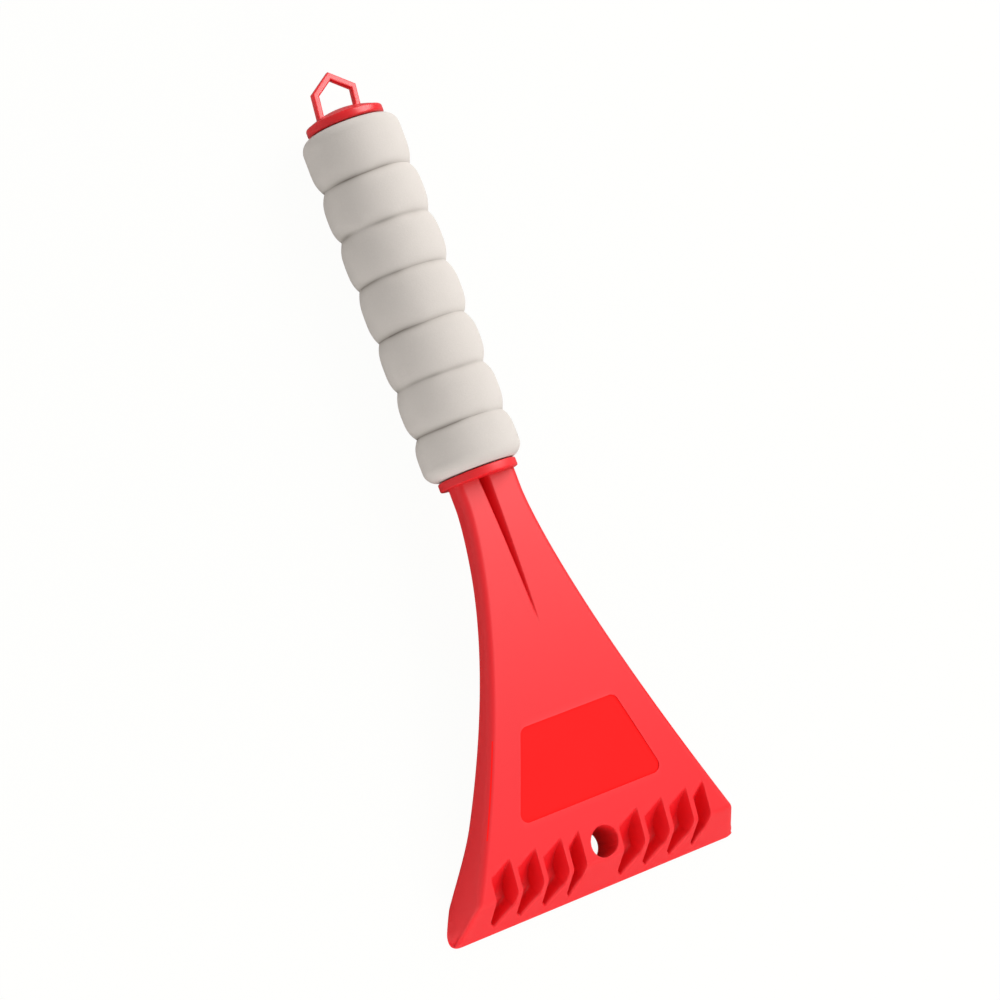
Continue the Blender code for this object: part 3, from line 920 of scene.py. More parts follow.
@dataclass(frozen=True)
class FoamRubber:
    """Fine closed-cell foam.

    Attributes:
        name: the material's name.
        tint: its colour.
        pit: its colour in the pits.
        crease_shade_tone: the painted shade colour deep in the creases.
        specular: strength of its reflections.
        sheen: strength of its soft glow at grazing angles.
        cells: its surface cells.
    """

    name: str
    tint: Colour = (0.60, 0.555, 0.515)
    pit: Colour = (0.42, 0.38, 0.34)
    # painted shade colour for deep in the creases
    crease_shade_tone: Colour = (0.26, 0.23, 0.20)
    specular: float = 0.15
    sheen: float = 0.05
    cells: Relief = Relief(0.3, 0.08 * MM)

    def build(self, effects: Effects) -> Material:
        """Make the material.

        Args:
            effects: the shared shader groups.

        Returns:
            The material.
        """
        material, shader = new_material(self.name)
        # reads the painted crease shade mask stored on the sleeve
        crease_shade_mask = material.node_tree.nodes.new("ShaderNodeAttribute")
        crease_shade_mask.attribute_name = "crease_shade_mask"
        values = {"Tint": self.tint, "Pit": self.pit, "Crease Shade Tone": self.crease_shade_tone, "Crease Shade Mask": crease_shade_mask.outputs["Fac"]}
        cells = add_group(material, effects.cells, values)
        shader.inputs["Specular IOR Level"].default_value = self.specular
        shader.inputs["Sheen Weight"].default_value = self.sheen
        self.cells.surface(material, cells.outputs["Colour"], cells)
        return material


@dataclass(frozen=True)
class DrawnMetal:
    """Drawn aluminium.

    Attributes:
        name: the material's name.
        tint: its colour.
        shade: its deeper tone.
        lines: its drawn lines.
    """

    name: str
    tint: Colour = (0.66, 0.67, 0.68)
    shade: Colour = (0.50, 0.51, 0.53)
    lines: Relief = Relief(0.2, 0.01 * MM)

    def build(self, effects: Effects) -> Material:
        """Make the material.

        Args:
            effects: the shared shader groups.

        Returns:
            The material.
        """
        material, shader = new_material(self.name)
        lines = add_group(material, effects.lines, {"Tint": self.tint, "Shade": self.shade})
        shader.inputs["Metallic"].default_value = 1.0
        self.lines.surface(material, lines.outputs["Colour"], lines)
        return material


# ---- the head's shape ------------------------------------------------------------------
@dataclass(frozen=True)
class HeadShape:
    """Outline and side profile of the scraper head, by distance from the collar.

    The three sizes without a default come from the frame.
    """

    edge_at: float
    foot_half: float
    land_slope: float
    fan_start: float = 10.0 * MM
    fold_at: float = 131.1 * MM
    neck_width: float = 23.4 * MM
    fan_power: float = 1.47
    flare: float = 3.0 * MM
    flare_start: float = 106.0 * MM
    flare_end: float = 134.0 * MM
    corner_radius: float = 6.0 * MM
    neck_front: float = 5.2 * MM
    neck_back: float = 1.4 * MM
    front_drop: float = 12.4 * MM
    back_start: float = 32.0 * MM
    back_power: float = 1.8
    heel_at: float = 128.4 * MM
    land_depth: float = 23.2 * MM
    lip: float = 1.0 * MM
    fold_round: float = 1.3 * MM
    foot_overhang: float = 5.649 * MM

    @classmethod
    def from_frame(cls, axes: HandleAxes) -> "HeadShape":
        """Read from the head's box how far it reaches and how wide its foot is.

        Args:
            axes: the handle's axes.

        Returns:
            The shape.
        """
        low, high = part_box(Node.HEAD.value)
        edge = axes.inside(Vector((0.0, low.y, low.z)))
        return cls(-edge.y, (high.x - low.x) / 2, math.tan(axes.tilt))

    def share(self, at: np.ndarray) -> np.ndarray:
        """How far down the fan a distance is, 1 at the fold."""
        return np.maximum(at - self.fan_start, 0.0) / (self.fold_at - self.fan_start)

    def fan_half(self, at: np.ndarray) -> np.ndarray:
        """Half the width of the front face."""
        widening = self.foot_half - self.foot_overhang - self.neck_width / 2
        return self.neck_width / 2 + widening * self.share(at) ** self.fan_power

    def foot_half_width(self, at: np.ndarray) -> np.ndarray:
        """Half the width at the back, with the spread foot and its round corners.

        Args:
            at: distances from the collar.

        Returns:
            The half widths.
        """
        spread = self.flare * smoothstep((at - self.flare_start) / (self.flare_end - self.flare_start))
        into = np.clip(at - (self.edge_at - self.corner_radius), 0.0, self.corner_radius)
        trim = self.corner_radius - np.sqrt(self.corner_radius**2 - into**2)
        return self.fan_half(at) + spread - trim

    def face(self, at: np.ndarray) -> np.ndarray:
        """Height of the front face, without the bevel."""
        return self.neck_front - self.front_drop * self.share(at) ** 2

    def land(self, at: np.ndarray) -> np.ndarray:
        """Height of the flat land behind the cutting edge."""
        return -self.land_depth + self.land_slope * (self.edge_at - at)

    def front(self, at: np.ndarray) -> np.ndarray:
        """Height of the front: the face, a softened fold and the bevel.

        Args:
            at: distances from the collar.

        Returns:
            The heights.
        """
        fold_height = self.face(np.array(self.fold_at))
        lip_top = -self.land_depth + self.lip
        bevel_slope = (lip_top - fold_height) / (self.edge_at - self.fold_at)
        bevel = fold_height + bevel_slope * (at - self.fold_at)
        face_slope = -2 * self.front_drop / (self.fold_at - self.fan_start)  # of the face at the fold
        face = np.where(at < self.fold_at, self.face(at), fold_height + face_slope * (at - self.fold_at))
        return smooth_low(face, bevel, self.fold_round)

    def back(self, at: np.ndarray) -> np.ndarray:
        """Height of the back: neck, swept back, flat land.

        Args:
            at: distances from the collar.

        Returns:
            The heights.
        """
        swing = np.maximum(at - self.back_start, 0.0) / (self.heel_at - self.back_start)
        heel = self.land(np.array(self.heel_at))
        swept = -self.neck_back + (heel + self.neck_back) * np.minimum(swing, 1.0) ** self.back_power
        return np.where(at >= self.heel_at, self.land(at), swept)


@dataclass(frozen=True)
class ToothRow:
    """A row of pockets between ribs.

    Attributes:
        start: left wall of the first pocket.
        last_width: width of the narrow last pocket.
    """

    start: float
    last_width: float = 5.0 * MM
    pitch: float = 10.05 * MM
    rib: float = 2.0 * MM
    pockets: int = 4

    def walls(self) -> list[float]:
        """Places of all the pocket walls across the blade.

        Returns:
            Left and right wall of each pocket in turn.
        """
        found = []
        for lane in range(self.pockets):
            left = self.start + lane * self.pitch
            width = self.last_width if lane == self.pockets - 1 else self.pitch - self.rib
            found += [left, left + width]
        return found


@dataclass
class ScraperBlade:
    """The moulded fan with its groove, panel, pockets, hanging hole and cored back.

    Sizes whose names end in _at are distances from the collar, and so are the
    starts and ends of the pockets and of the core.
    """

    axes: HandleAxes
    shape: HeadShape
    rows: tuple[ToothRow, ...] = (ToothRow(-43.9 * MM), ToothRow(6.7 * MM))
    top_at: float = 1.45 * MM
    fillet: float = 2.6 * MM
    back_round: float = 0.5 * MM
    lane_limit: float = 44.9 * MM
    wall_lip: float = 0.35 * MM
    wall_root: float = 0.5 * MM
    pocket_depth: float = 8.8 * MM
    pocket_top: float = 123.4 * MM
    pocket_top_skew: float = 3.8 * MM
    pocket_top_run: float = 8.4 * MM
    pocket_top_power: float = 0.6
    pocket_bottom: float = 139.6 * MM
    pocket_bottom_skew: float = 6.4 * MM
    pocket_bottom_run: float = 5.0 * MM
    pocket_tip_place: float = 0.25
    pocket_tip_rise: float = 6.0 * MM
    pocket_floor: float = 0.8 * MM
    off_the_rows: float = 1.0
    hole_at: float = 126.1 * MM
    hole_radius: float = 5.2 * MM
    hole_round: float = 0.5 * MM
    relief_margin: float = 2.4 * MM
    relief_depth: float = 1.7 * MM
    groove_end_at: float = 53.0 * MM
    groove_half: float = 2.3 * MM
    groove_shift: float = -1.0 * MM
    groove_depth: float = 4.5 * MM
    groove_soft: float = 0.8 * MM
    panel_top_at: float = 82.6 * MM
    panel_bottom_at: float = 111.6 * MM
    panel_top_width: float = 37.4 * MM
    panel_bottom_width: float = 57.6 * MM
    panel_radius: float = 2.8 * MM
    panel_depth: float = 0.4 * MM
    skin: float = 2.6 * MM
    side_wall: float = 2.4 * MM
    side_shares: tuple[float, ...] = (0.72, 0.45, 0.2)
    core_start: float = 22.0 * MM
    core_end: float = 116.0 * MM
    spine_top: float = 7.6 * MM
    spine_bottom: float = 2.4 * MM
    cross_rib: float = 2.2 * MM
    cross_ribs_at: tuple[float, ...] = (46.0 * MM, 69.0 * MM, 92.0 * MM)
    cell_round: float = 2.0 * MM
    cell_top_round: float = 1.0 * MM
    gusset_width: float = 5.0 * MM
    gusset_end_at: float = 40.0 * MM
    gusset_bury: float = 1.0 * MM
    gusset_proud: float = 0.25 * MM
    collar_reach: float = 12.8 * MM

    def stations(self) -> np.ndarray:
        """Distances from the collar where the section is drawn.

        Returns:
            The distances, from the collar to the cutting edge.
        """
        edge = self.shape.edge_at
        corner = edge - self.shape.corner_radius
        bands = [
            np.arange(self.top_at, 56.0 * MM, 1.3 * MM),
            np.arange(56.0 * MM, 80.0 * MM, 2.0 * MM),
            np.arange(80.0 * MM, 118.0 * MM, 1.6 * MM),
            np.arange(118.0 * MM, corner, 0.35 * MM),
            edge - self.shape.corner_radius * (1.0 - np.sin(np.linspace(0.0, math.pi / 2, 22))),
        ]
        found = np.unique(np.concatenate(bands))
        return found[np.insert(np.diff(found) > 0.02 * MM, 0, True)]

    def lanes(self) -> np.ndarray:
        """Nominal places of the front's inner columns, dense at every wall and at the hole.

        Returns:
            The places, from left to right.
        """
        across_wall = np.array([0.0, 0.06, 0.13, 0.22, 0.34, 0.48, 0.6, 0.7, 0.79, 0.87, 0.94, 1.0])
        found = [np.linspace(-self.lane_limit, self.lane_limit, 190)]
        found.append(np.arange(-8.1 * MM, 5.7 * MM, 0.32 * MM))
        for row in self.rows:
            for number, wall in enumerate(row.walls()):
                outward = -1.0 if number % 2 == 0 else 1.0
                reach = across_wall * (self.wall_lip + self.wall_root)
                found.append(wall + outward * (self.wall_lip - reach))
        lanes = np.unique(np.concatenate(found))
        lanes = lanes[np.insert(np.diff(lanes) > 0.03 * MM, 0, True)]
        return lanes[np.abs(lanes) <= self.lane_limit]

    def front_row(self, at: float, lanes: np.ndarray, outer: np.ndarray) -> tuple[np.ndarray, np.ndarray]:
        """Places and heights across the front, from the right edge to the left.

        Args:
            at: distance from the collar.
            lanes: nominal places of the inner columns.
            outer: shares of the way from the inner columns to the edge.

        Returns:
            The places and the heights.
        """
        here = np.array(at)
        foot = float(self.shape.foot_half_width(here))
        half = min(float(self.shape.fan_half(here)), foot)
        height = float(self.shape.front(here))
        depth = height - float(self.shape.back(here))
        fillet = min(self.fillet, depth * 0.8)
        flat = half - fillet
        reach = min(self.lane_limit, flat + 0.35 * fillet)
        inner = lanes * (reach / self.lane_limit)
        level = max(flat - reach, 0.0)
        first_angle = math.asin(min(max((reach - flat) / fillet, 0.0), 1.0))
        arc = fillet * (math.pi / 2 - first_angle)
        travelled = outer * (level + arc)
        angle = first_angle + np.maximum(travelled - level, 0.0) / fillet
        places = np.where(travelled < level, reach + travelled, flat + fillet * np.sin(angle))
        places = np.concatenate([places[::-1], inner[::-1], -places])
        over = np.clip((np.abs(places) - flat) / fillet, 0.0, 1.0)
        return places, height - fillet + fillet * np.sqrt(1.0 - over**2)

    def groove(self, at: float, x: np.ndarray) -> np.ndarray:
        """Depth of the groove on the neck, whose right flank is the steeper one.

        Args:
            at: distance from the collar.
            x: places across the blade.

        Returns:
            The depths.
        """
        fade = 1.0 - at / self.groove_end_at
        if fade <= 0.0:
            return np.zeros_like(x)
        depth = self.groove_depth * fade
        half = self.groove_half * (0.12 + 0.88 * fade)
        off = x - self.groove_shift * fade
        left = depth * (1.0 + off / half)
        right = depth * (1.0 - off / (half * 0.75))
        cut = smooth_low(left, right, 0.3 * MM)
        return -smooth_low(-cut, np.zeros_like(x), self.groove_soft * fade + 0.1 * MM)

    def hole_rim(self, at: float, x: np.ndarray) -> np.ndarray:
        """How far the rounded rim of the hanging hole falls.

        Args:
            at: distance from the collar.
            x: places across the blade.

        Returns:
            The falls.
        """
        away = np.hypot(x, at - self.hole_at) - self.hole_radius
        near = np.clip(1.0 - away / self.hole_round, 0.0, 1.0)
        return self.hole_round * (1.0 - np.sqrt(1.0 - near**2)) * 0.8

    def ring(self, at: float, front: list[Spot]) -> list[Spot]:
        """A whole section of the blade: its front, left side, back and right side.

        Args:
            at: distance from the collar.
            front: the front's points, from right to left.

        Returns:
            The section's points.
        """
        foot = float(self.shape.foot_half_width(np.array(at)))
        back = float(self.shape.back(np.array(at)))
        front_half, front_height = abs(front[-1][0]), front[-1][1]
        depth = front_height - back
        turn = min(self.back_round, depth * 0.15)
        side = [(foot + (front_half - foot) * up, back + depth * up) for up in self.side_shares]
        side += [(foot, back + turn), (foot - 0.3 * turn, back + 0.3 * turn), (foot - turn, back)]
        under = [(-foot * share, back) for share in np.linspace(0.94, -0.94, 12)]
        return [*front, *((-x, z) for x, z in side), *under, *reversed(side)]

    def skin_mesh(self) -> Piece:
        """The blade's skin before its pockets, with what the pocket rule reads stored on its points.

        Returns:
            The blade.
        """
        lanes = self.lanes()
        outer = np.linspace(0.0, 1.0, 13)[1:]
        rings, across, stations, rooms = [], [], [], []
        for at in self.stations():
            x, z = self.front_row(at, lanes, outer)
            z = z - self.groove(at, x) - self.hole_rim(at, x)
            ring = self.ring(at, list(zip(x, z)))
            rings.append([(u, -at, v) for u, v in ring])
            hidden = len(ring) - len(x)
            room = z - float(self.shape.back(np.array(at))) - self.pocket_floor
            across.append(np.pad(x, (0, hidden), constant_values=self.off_the_rows))
            stations.append(np.full(len(ring), at))
            rooms.append(np.pad(np.maximum(room, 0.0), (0, hidden)))
        blade = lofted("head_blade", rings)
        for name, values in (("lane_x", across), ("station", stations), ("room", rooms)):
            set_values(blade, name, np.concatenate(values))
        return blade

    def press_pockets(self, blade: Piece, material: Material) -> None:
        """Press both rows of pockets into the blade's front.

        Args:
            blade: the skin from skin_mesh.
            material: the moulded plastic.
        """
        shared = {
            "Crest Rounding": self.wall_lip,
            "Root Rounding": self.wall_root,
            "Depth": self.pocket_depth,
            "Top": self.pocket_top,
            "Top Skew": self.pocket_top_skew,
            "Top Run": self.pocket_top_run,
            "Top Power": self.pocket_top_power,
            "Bottom": self.pocket_bottom,
            "Bottom Skew": self.pocket_bottom_skew,
            "Bottom Run": self.pocket_bottom_run,
            "Tip Place": self.pocket_tip_place,
            "Tip Rise": self.pocket_tip_rise,
            "Material": material,
        }
        rule = tooth_row_rule()
        for row in self.rows:
            own = {
                "Start": row.start,
                "Pitch": row.pitch,
                "Rib Width": row.rib,
                "Last Pocket Width": row.last_width,
                "Pockets": float(row.pockets),
            }
            rule.apply_to(blade, own | shared)
        baked(blade, [])

    def build(self, material: Material, panel: Material) -> Piece:
        """Make and dress the blade.

        Args:
            material: the moulded plastic.
            panel: the smoother plastic of the recessed panel.

        Returns:
            The finished piece.
        """
        blade = self.skin_mesh()
        self.press_pockets(blade, material)
        cutters = [self.panel_cutter(), self.hole_cutter(), self.relief_cutter(), *self.cell_cutters()]
        for cutter in cutters:
            combine(blade, cutter, Operation.CUT)
        gusset = self.gusset()
        combine(blade, gusset, Operation.JOIN)
        baked(blade, [*cutters, gusset])
        floor = self.panel_faces(blade)
        finished(blade, self.axes, material, Node.HEAD)
        blade.data.materials.append(panel)
        blade.data.polygons.foreach_set("material_index", floor)
        return blade

    def panel_outline(self, steps: int = 8) -> list[Spot]:
        """The panel's outline: a widening trapezoid with round corners.

        Args:
            steps: steps in a corner.

        Returns:
            The outline's points.
        """
        corners = [
            Vector((-self.panel_bottom_width / 2, -self.panel_bottom_at)),
            Vector((self.panel_bottom_width / 2, -self.panel_bottom_at)),
            Vector((self.panel_top_width / 2, -self.panel_top_at)),
            Vector((-self.panel_top_width / 2, -self.panel_top_at)),
        ]
        reach = self.panel_radius
        outline = []
        for index, here in enumerate(corners):
            before = (corners[index - 1] - here).normalized()
            after = (corners[(index + 1) % len(corners)] - here).normalized()
            half_angle = before.angle(after) / 2
            centre = here + (before + after).normalized() * (reach / math.sin(half_angle))
            start = here + before * (reach / math.tan(half_angle)) - centre
            first = math.atan2(start.y, start.x)
            sweep = math.pi - 2 * half_angle
            for step in range(steps + 1):
                angle = first + sweep * step / steps
                outline.append((centre.x + reach * math.cos(angle), centre.y + reach * math.sin(angle)))
        return outline

    def panel_cutter(self) -> Piece:
        """The recess of the panel, whose floor follows the face.

        Returns:
            The cutter.
        """
        outline = self.panel_outline()
        low = [(x, y, -self.shape.land_depth) for x, y in outline]
        high = [(x, y, self.shape.neck_front) for x, y in outline]
        plate = lofted("panel_plate", [low, high])
        reach = self.shape.foot_half
        deep = -2 * self.shape.land_depth
        rings = []
        for at in np.linspace(self.panel_top_at - 2 * MM, self.panel_bottom_at + 2 * MM, 40):
            top = float(self.shape.face(np.array(at))) - self.panel_depth
            rings.append([(reach, -at, top), (reach, -at, deep), (-reach, -at, deep), (-reach, -at, top)])
        body = lofted("panel_body", rings)
        combine(plate, body, Operation.CUT)
        baked(plate, [body])
        return plate

    def panel_faces(self, blade: Piece) -> np.ndarray:
        """Find the faces on the panel's floor.

        Args:
            blade: the blade, with its panel cut.

        Returns:
            1 for each face on the panel's floor, 0 for the others.
        """
        count = len(blade.data.polygons)
        centres = np.empty(count * 3)
        blade.data.polygons.foreach_get("center", centres)
        centres = centres.reshape(-1, 3)
        at = -centres[:, 1]
        sunk = self.shape.face(at) - centres[:, 2]
        shallowest, deepest = 0.8 * self.panel_depth, 1.3 * self.panel_depth
        inside = (at > self.panel_top_at) & (at < self.panel_bottom_at)
        level = (sunk > shallowest) & (sunk < deepest)
        return (inside & level).astype(np.int32)

    def drum(self, name: str, radius: float, low: float, high: float) -> Piece:
        """A cylinder through the blade at the hanging hole.

        Args:
            name: the object's name.
            radius: its radius.
            low: height of its lower end.
            high: height of its upper end.

        Returns:
            The cylinder.
        """
        steps = 96
        angles = [2 * math.pi * step / steps for step in range(steps)]
        circle = [(radius * math.cos(a), radius * math.sin(a) - self.hole_at) for a in angles]
        return lofted(name, [[(x, y, z) for x, y in circle] for z in (low, high)])

    def hole_cutter(self) -> Piece:
        """The hanging hole."""
        return self.drum("hole", self.hole_radius, -2 * self.shape.land_depth, self.shape.neck_front)

    def relief_cutter(self) -> Piece:
        """The shallow round recess behind the hanging hole."""
        top = float(self.shape.back(np.array(self.hole_at))) + self.relief_depth
        return self.drum("relief", self.hole_radius + self.relief_margin, -2 * self.shape.land_depth, top)

    def cell_cutters(self) -> list[Piece]:
        """The hollows of the back, between the spine, the cross ribs and the sides.

        Returns:
            The cutters.
        """
        edges = [self.core_start]
        for rib in self.cross_ribs_at:
            edges += [rib - self.cross_rib / 2, rib + self.cross_rib / 2]
        edges.append(self.core_end)
        made = []
        for number in range(0, len(edges), 2):
            for side in (-1.0, 1.0):
                made.append(self.cell(f"cell_{len(made) + 1}", edges[number], edges[number + 1], side))
        return made

    def cell(self, name: str, start: float, end: float, side: float) -> Piece:
        """One hollow of the back with round corners.

        Args:
            name: the cutter's name.
            start: its end nearest the collar.
            end: its end nearest the cutting edge.
            side: -1 for the left of the spine and 1 for the right.

        Returns:
            The cutter.
        """
        full = self.cell_round
        turn = full * (1.0 - np.cos(np.linspace(0.0, math.pi / 2, 6)))
        middle = np.linspace(start + full, end - full, 12)
        places = np.unique(np.concatenate([start + turn, middle, end - turn]))
        below = -2 * self.shape.land_depth
        rings = []
        for at in places:
            from_end = min(at - start, end - at, full)
            trim = full - math.sqrt(max(full**2 - (full - from_end) ** 2, 0.0))
            share = (at - self.core_start) / (self.core_end - self.core_start)
            near = (self.spine_top + (self.spine_bottom - self.spine_top) * share) / 2 + trim
            far = float(self.shape.fan_half(np.array(at))) - self.side_wall - trim
            top = float(self.shape.face(np.array(at))) - self.skin
            soft = min(self.cell_top_round, (far - near) * 0.4)
            over = quarter_arc((far - soft, top - soft), soft, 0.0, 4)
            over += quarter_arc((near + soft, top - soft), soft, math.pi / 2, 4)
            ring = [(far, below), *over, (near, below)]
            rings.append([(side * x, -at, z) for x, z in ring])
        return lofted(name, rings)

    def gusset(self) -> Piece:
        """The web behind the neck that carries the load into the collar.

        Returns:
            The web.
        """
        back = float(self.shape.back(np.array(self.gusset_end_at)))
        outline = [
            (-self.top_at, self.gusset_bury),
            (-self.gusset_end_at, back + self.gusset_bury),
            (-self.gusset_end_at, back - self.gusset_proud),
            (-self.top_at, -self.collar_reach),
        ]
        half = self.gusset_width / 2
        return lofted("gusset", [[(x, y, z) for y, z in outline] for x in (-half, half)])


@dataclass
class HeadCollar:
    """The collar over the neck and the spigot that plugs the tube."""

    axes: HandleAxes
    radius: float = 13.3 * MM
    thickness: float = 2.9 * MM
    rounding: float = 0.5 * MM
    spigot_radius: float = 7.5 * MM
    spigot_length: float = 30.0 * MM
    spigot_bore: float = 5.0 * MM
    spigot_floor: float = 5.0 * MM
    lead_in: float = 1.0 * MM

    def build(self, material: Material) -> Piece:
        """Make and dress the collar.

        Args:
            material: the moulded plastic.

        Returns:
            The finished piece.
        """
        edge = self.radius - self.rounding
        upper = quarter_arc((edge, -self.rounding), self.rounding, 0.0, 5)
        lower = quarter_arc((edge, self.rounding - self.thickness), self.rounding, -math.pi / 2, 5)
        profile = [
            (0.0, self.spigot_floor),
            (self.spigot_bore, self.spigot_floor),
            (self.spigot_bore, self.spigot_length),
            (self.spigot_radius - self.lead_in, self.spigot_length),
            (self.spigot_radius, self.spigot_length - self.lead_in),
            (self.spigot_radius, 0.0),
            *reversed(upper),
            *reversed(lower),
            (0.0, -self.thickness),
        ]
        collar = turned("head_collar", profile, ROUND_STEPS)
        return finished(collar, self.axes, material, Node.HEAD)


@dataclass
class FoamGrip:
    """The soft sleeve, gathered into bulges of uneven length."""

    axes: HandleAxes
    start: float
    end: float
    radius: float
    shares: tuple[float, ...] = (16.0, 16.9, 17.5, 18.5, 17.6, 17.0, 18.9)
    crease_depth: float = 1.9 * MM
    crease_sharpness: float = 3.0
    crease_reach: float = 16.0
    end_round: float = 4.6 * MM
    # painted shade in the creases: its strength, and how much darker one side of the sleeve is
    fold_shade: float = 0.62
    fold_shade_swing: float = 0.5
    pinching: float = 1.5
    pinch_scale: float = 70.0
    crease_sway: float = 1.5 * MM
    unevenness: float = 0.5 * MM
    unevenness_scale: float = 40.0
    seed: float = 3.0
    sharp_from: float = 50.0
    steps: int = 168
    row_step: float = 0.42 * MM

    def build(self, material: Material) -> Piece:
        """Make and dress the sleeve.

        Args:
            material: the foam.

        Returns:
            The finished piece.
        """
        lengths = np.array(self.shares) / sum(self.shares) * (self.end - self.start)
        creases = self.start + np.concatenate([[0.0], np.cumsum(lengths)])
        bend = self.end_round * (1.0 - np.cos(np.linspace(0.0, math.pi / 2, 14)))
        middle = np.arange(self.start + self.end_round, self.end - self.end_round, self.row_step)
        along = np.unique(np.concatenate([self.start + bend, middle, self.end - bend]))
        along = along[np.insert(np.diff(along) > 0.01 * MM, 0, True)]
        from_end = np.minimum(along - self.start, self.end - along)
        into = np.clip(self.end_round - from_end, 0.0, self.end_round)
        outside = self.radius - self.end_round + np.sqrt(self.end_round**2 - into**2)
        number = np.clip(np.searchsorted(creases, along, side="right") - 1, 0, len(lengths) - 1)
        phase = 2.0 * (along - creases[number]) / lengths[number] - 1.0
        phase = np.where((number == 0) & (phase < 0.0), 0.0, phase)
        phase = np.where((number == len(lengths) - 1) & (phase > 0.0), 0.0, phase)
        skin = smoothstep(from_end / (self.end_round * 0.8))
        bore = self.axes.tube_radius + SEAT_GAP
        profile = [(bore, self.start), *zip(outside, along), (bore, self.end)]
        grip = turned("foam_sleeve", profile, self.steps)
        turn = 2 * math.pi * np.arange(self.steps) / self.steps
        # painted shade in the creases, darker on one side of the sleeve
        shaded = self.fold_shade - self.fold_shade_swing * np.cos(turn)
        folds = skin * np.abs(phase) ** self.crease_reach
        round_about = np.ones(self.steps)
        stored = {"bulge_phase": (phase, round_about), "skin": (skin, round_about), "crease_shade_mask": (folds, shaded)}
        for name, (lengthwise, share) in stored.items():
            set_values(grip, name, np.outer(np.pad(lengthwise, 1), share))
        values = {
            "Crease Depth": self.crease_depth,
            "Crease Sharpness": self.crease_sharpness,
            "Pinching": self.pinching,
            "Pinch Scale": self.pinch_scale,
            "Crease Sway": self.crease_sway,
            "Unevenness": self.unevenness,
            "Unevenness Scale": self.unevenness_scale,
            "Seed": self.seed,
            "Material": material,
        }
        bulge_rule().apply_to(grip, values)
        baked(grip, [])
        finished(grip, self.axes, material, Node.GRIP, self.sharp_from)
        return grip


@dataclass
class CapFlange:
    """The end cap's domed flange and the plug that closes the tube."""

    axes: HandleAxes
    seat: float
    radius: float
    rim: float = 3.0 * MM
    crown: float = 2.8 * MM
    rounding: float = 0.8 * MM
    plug_radius: float = 7.5 * MM
    plug_length: float = 18.0 * MM
    plug_bore: float = 5.5 * MM
    lead_in: float = 1.0 * MM

    def build(self, material: Material) -> Piece:
        """Make and dress the flange.

        Args:
            material: the moulded plastic.

        Returns:
            The finished piece.
        """
        top = self.seat + self.rim
        tip = self.seat - self.plug_length
        edge = self.radius - self.rounding
        shares = np.linspace(0.0, 1.0, 13)[:-1]
        dome = [(edge * share, top + self.crown * (1.0 - share**2)) for share in shares]
        upper = quarter_arc((edge, top - self.rounding), self.rounding, 0.0, 6)
        lower = quarter_arc((edge, self.seat + self.rounding), self.rounding, -math.pi / 2, 6)
        plug = [
            (self.plug_radius, self.seat),
            (self.plug_radius, tip + self.lead_in),
            (self.plug_radius - self.lead_in, tip),
            (self.plug_bore, tip),
            (self.plug_bore, self.seat),
            (0.0, self.seat),
        ]
        flange = turned("cap_flange", [*dome, *reversed(upper), *reversed(lower), *plug], ROUND_STEPS)
        return finished(flange, self.axes, material, Node.CAP)


@dataclass
class HangingLoop:
    """The house-shaped loop on the cap: a bar bent at its shoulders and peak."""

    axes: HandleAxes
    root: float
    width: float = 16.8 * MM
    shoulder: float = 9.7 * MM
    height: float = 15.6 * MM
    bar: float = 2.3 * MM
    thickness: float = 2.4 * MM
    rounding: float = 0.65 * MM
    buried: float = 1.5 * MM
    lean: float = -1.4 * MM

    def section(self) -> list[Spot]:
        """Section of the bar as (distance in from the outline, height).

        Returns:
            The section's points.
        """
        half_bar = self.bar / 2
        half_thick = self.thickness / 2
        points = []
        for number, (sx, sy) in enumerate([(1, 1), (-1, 1), (-1, -1), (1, -1)]):
            centre = (sx * (half_bar - self.rounding), sy * (half_thick - self.rounding))
            points += quarter_arc(centre, self.rounding, number * math.pi / 2, 4)
        return [(half_bar + u, v) for u, v in points]

    def build(self, material: Material) -> Piece:
        """Make and dress the loop.

        Args:
            material: the moulded plastic.

        Returns:
            The finished piece.
        """
        half = self.width / 2
        slope = math.atan2(self.height - self.shoulder, half)
        base = self.root - self.buried
        lines = []
        for inward, height in self.section():
            x = half - inward
            peak = self.root + self.height - inward / math.cos(slope)
            shoulder = peak - x * math.tan(slope)
            bends = [(self.lean - x, base), (-x, shoulder), (0.0, peak), (x, shoulder), (self.lean + x, base)]
            lines.append([(across, along, height) for across, along in bends])
        loop = lofted("hanging_loop", list(zip(*lines)))
        return finished(loop, self.axes, material, Node.CAP)


@dataclass
class HandleTube:
    """The tube, whose shape the frame already has."""

    def dress(self, material: Material) -> None:
        """Give the frame's tube its finish.

        Args:
            material: the drawn metal.
        """
        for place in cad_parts[Node.TUBE.value].material_slots:
            place.material = material
        LOG.info("handle_tube: dressed in %s", material.name)


# ---- studio ------------------------------------------------------------------------------
@dataclass(frozen=True)
class SoftLight:
    """A large soft light that looks at a point.

    Attributes:
        name: its name.
        towards: direction from the point to the light.
        distance: how far away it stands.
        size: the side of its square.
        power: its power in watts.
        aim: the point that it looks at.
        lights_up: whether it lights matte surfaces.
        reflects: whether it shows in reflections.
    """

    name: str
    towards: Place
    distance: float
    size: float
    power: float
    aim: Place = (0.0, 0.0, 0.0)
    lights_up: bool = True
    reflects: bool = True

    def build(self) -> None:
        """Place the light."""
        data = bpy.data.lights.new(self.name, "AREA")
        data.size = self.size
        data.energy = self.power
        made = bpy.data.objects.new(self.name, data)
        bpy.context.scene.collection.objects.link(made)
        direction = Vector(self.towards).normalized()
        made.visible_diffuse = self.lights_up
        made.visible_glossy = self.reflects
        made.location = Vector(self.aim) + direction * self.distance
        made.rotation_euler = direction.to_track_quat("Z", "Y").to_euler()


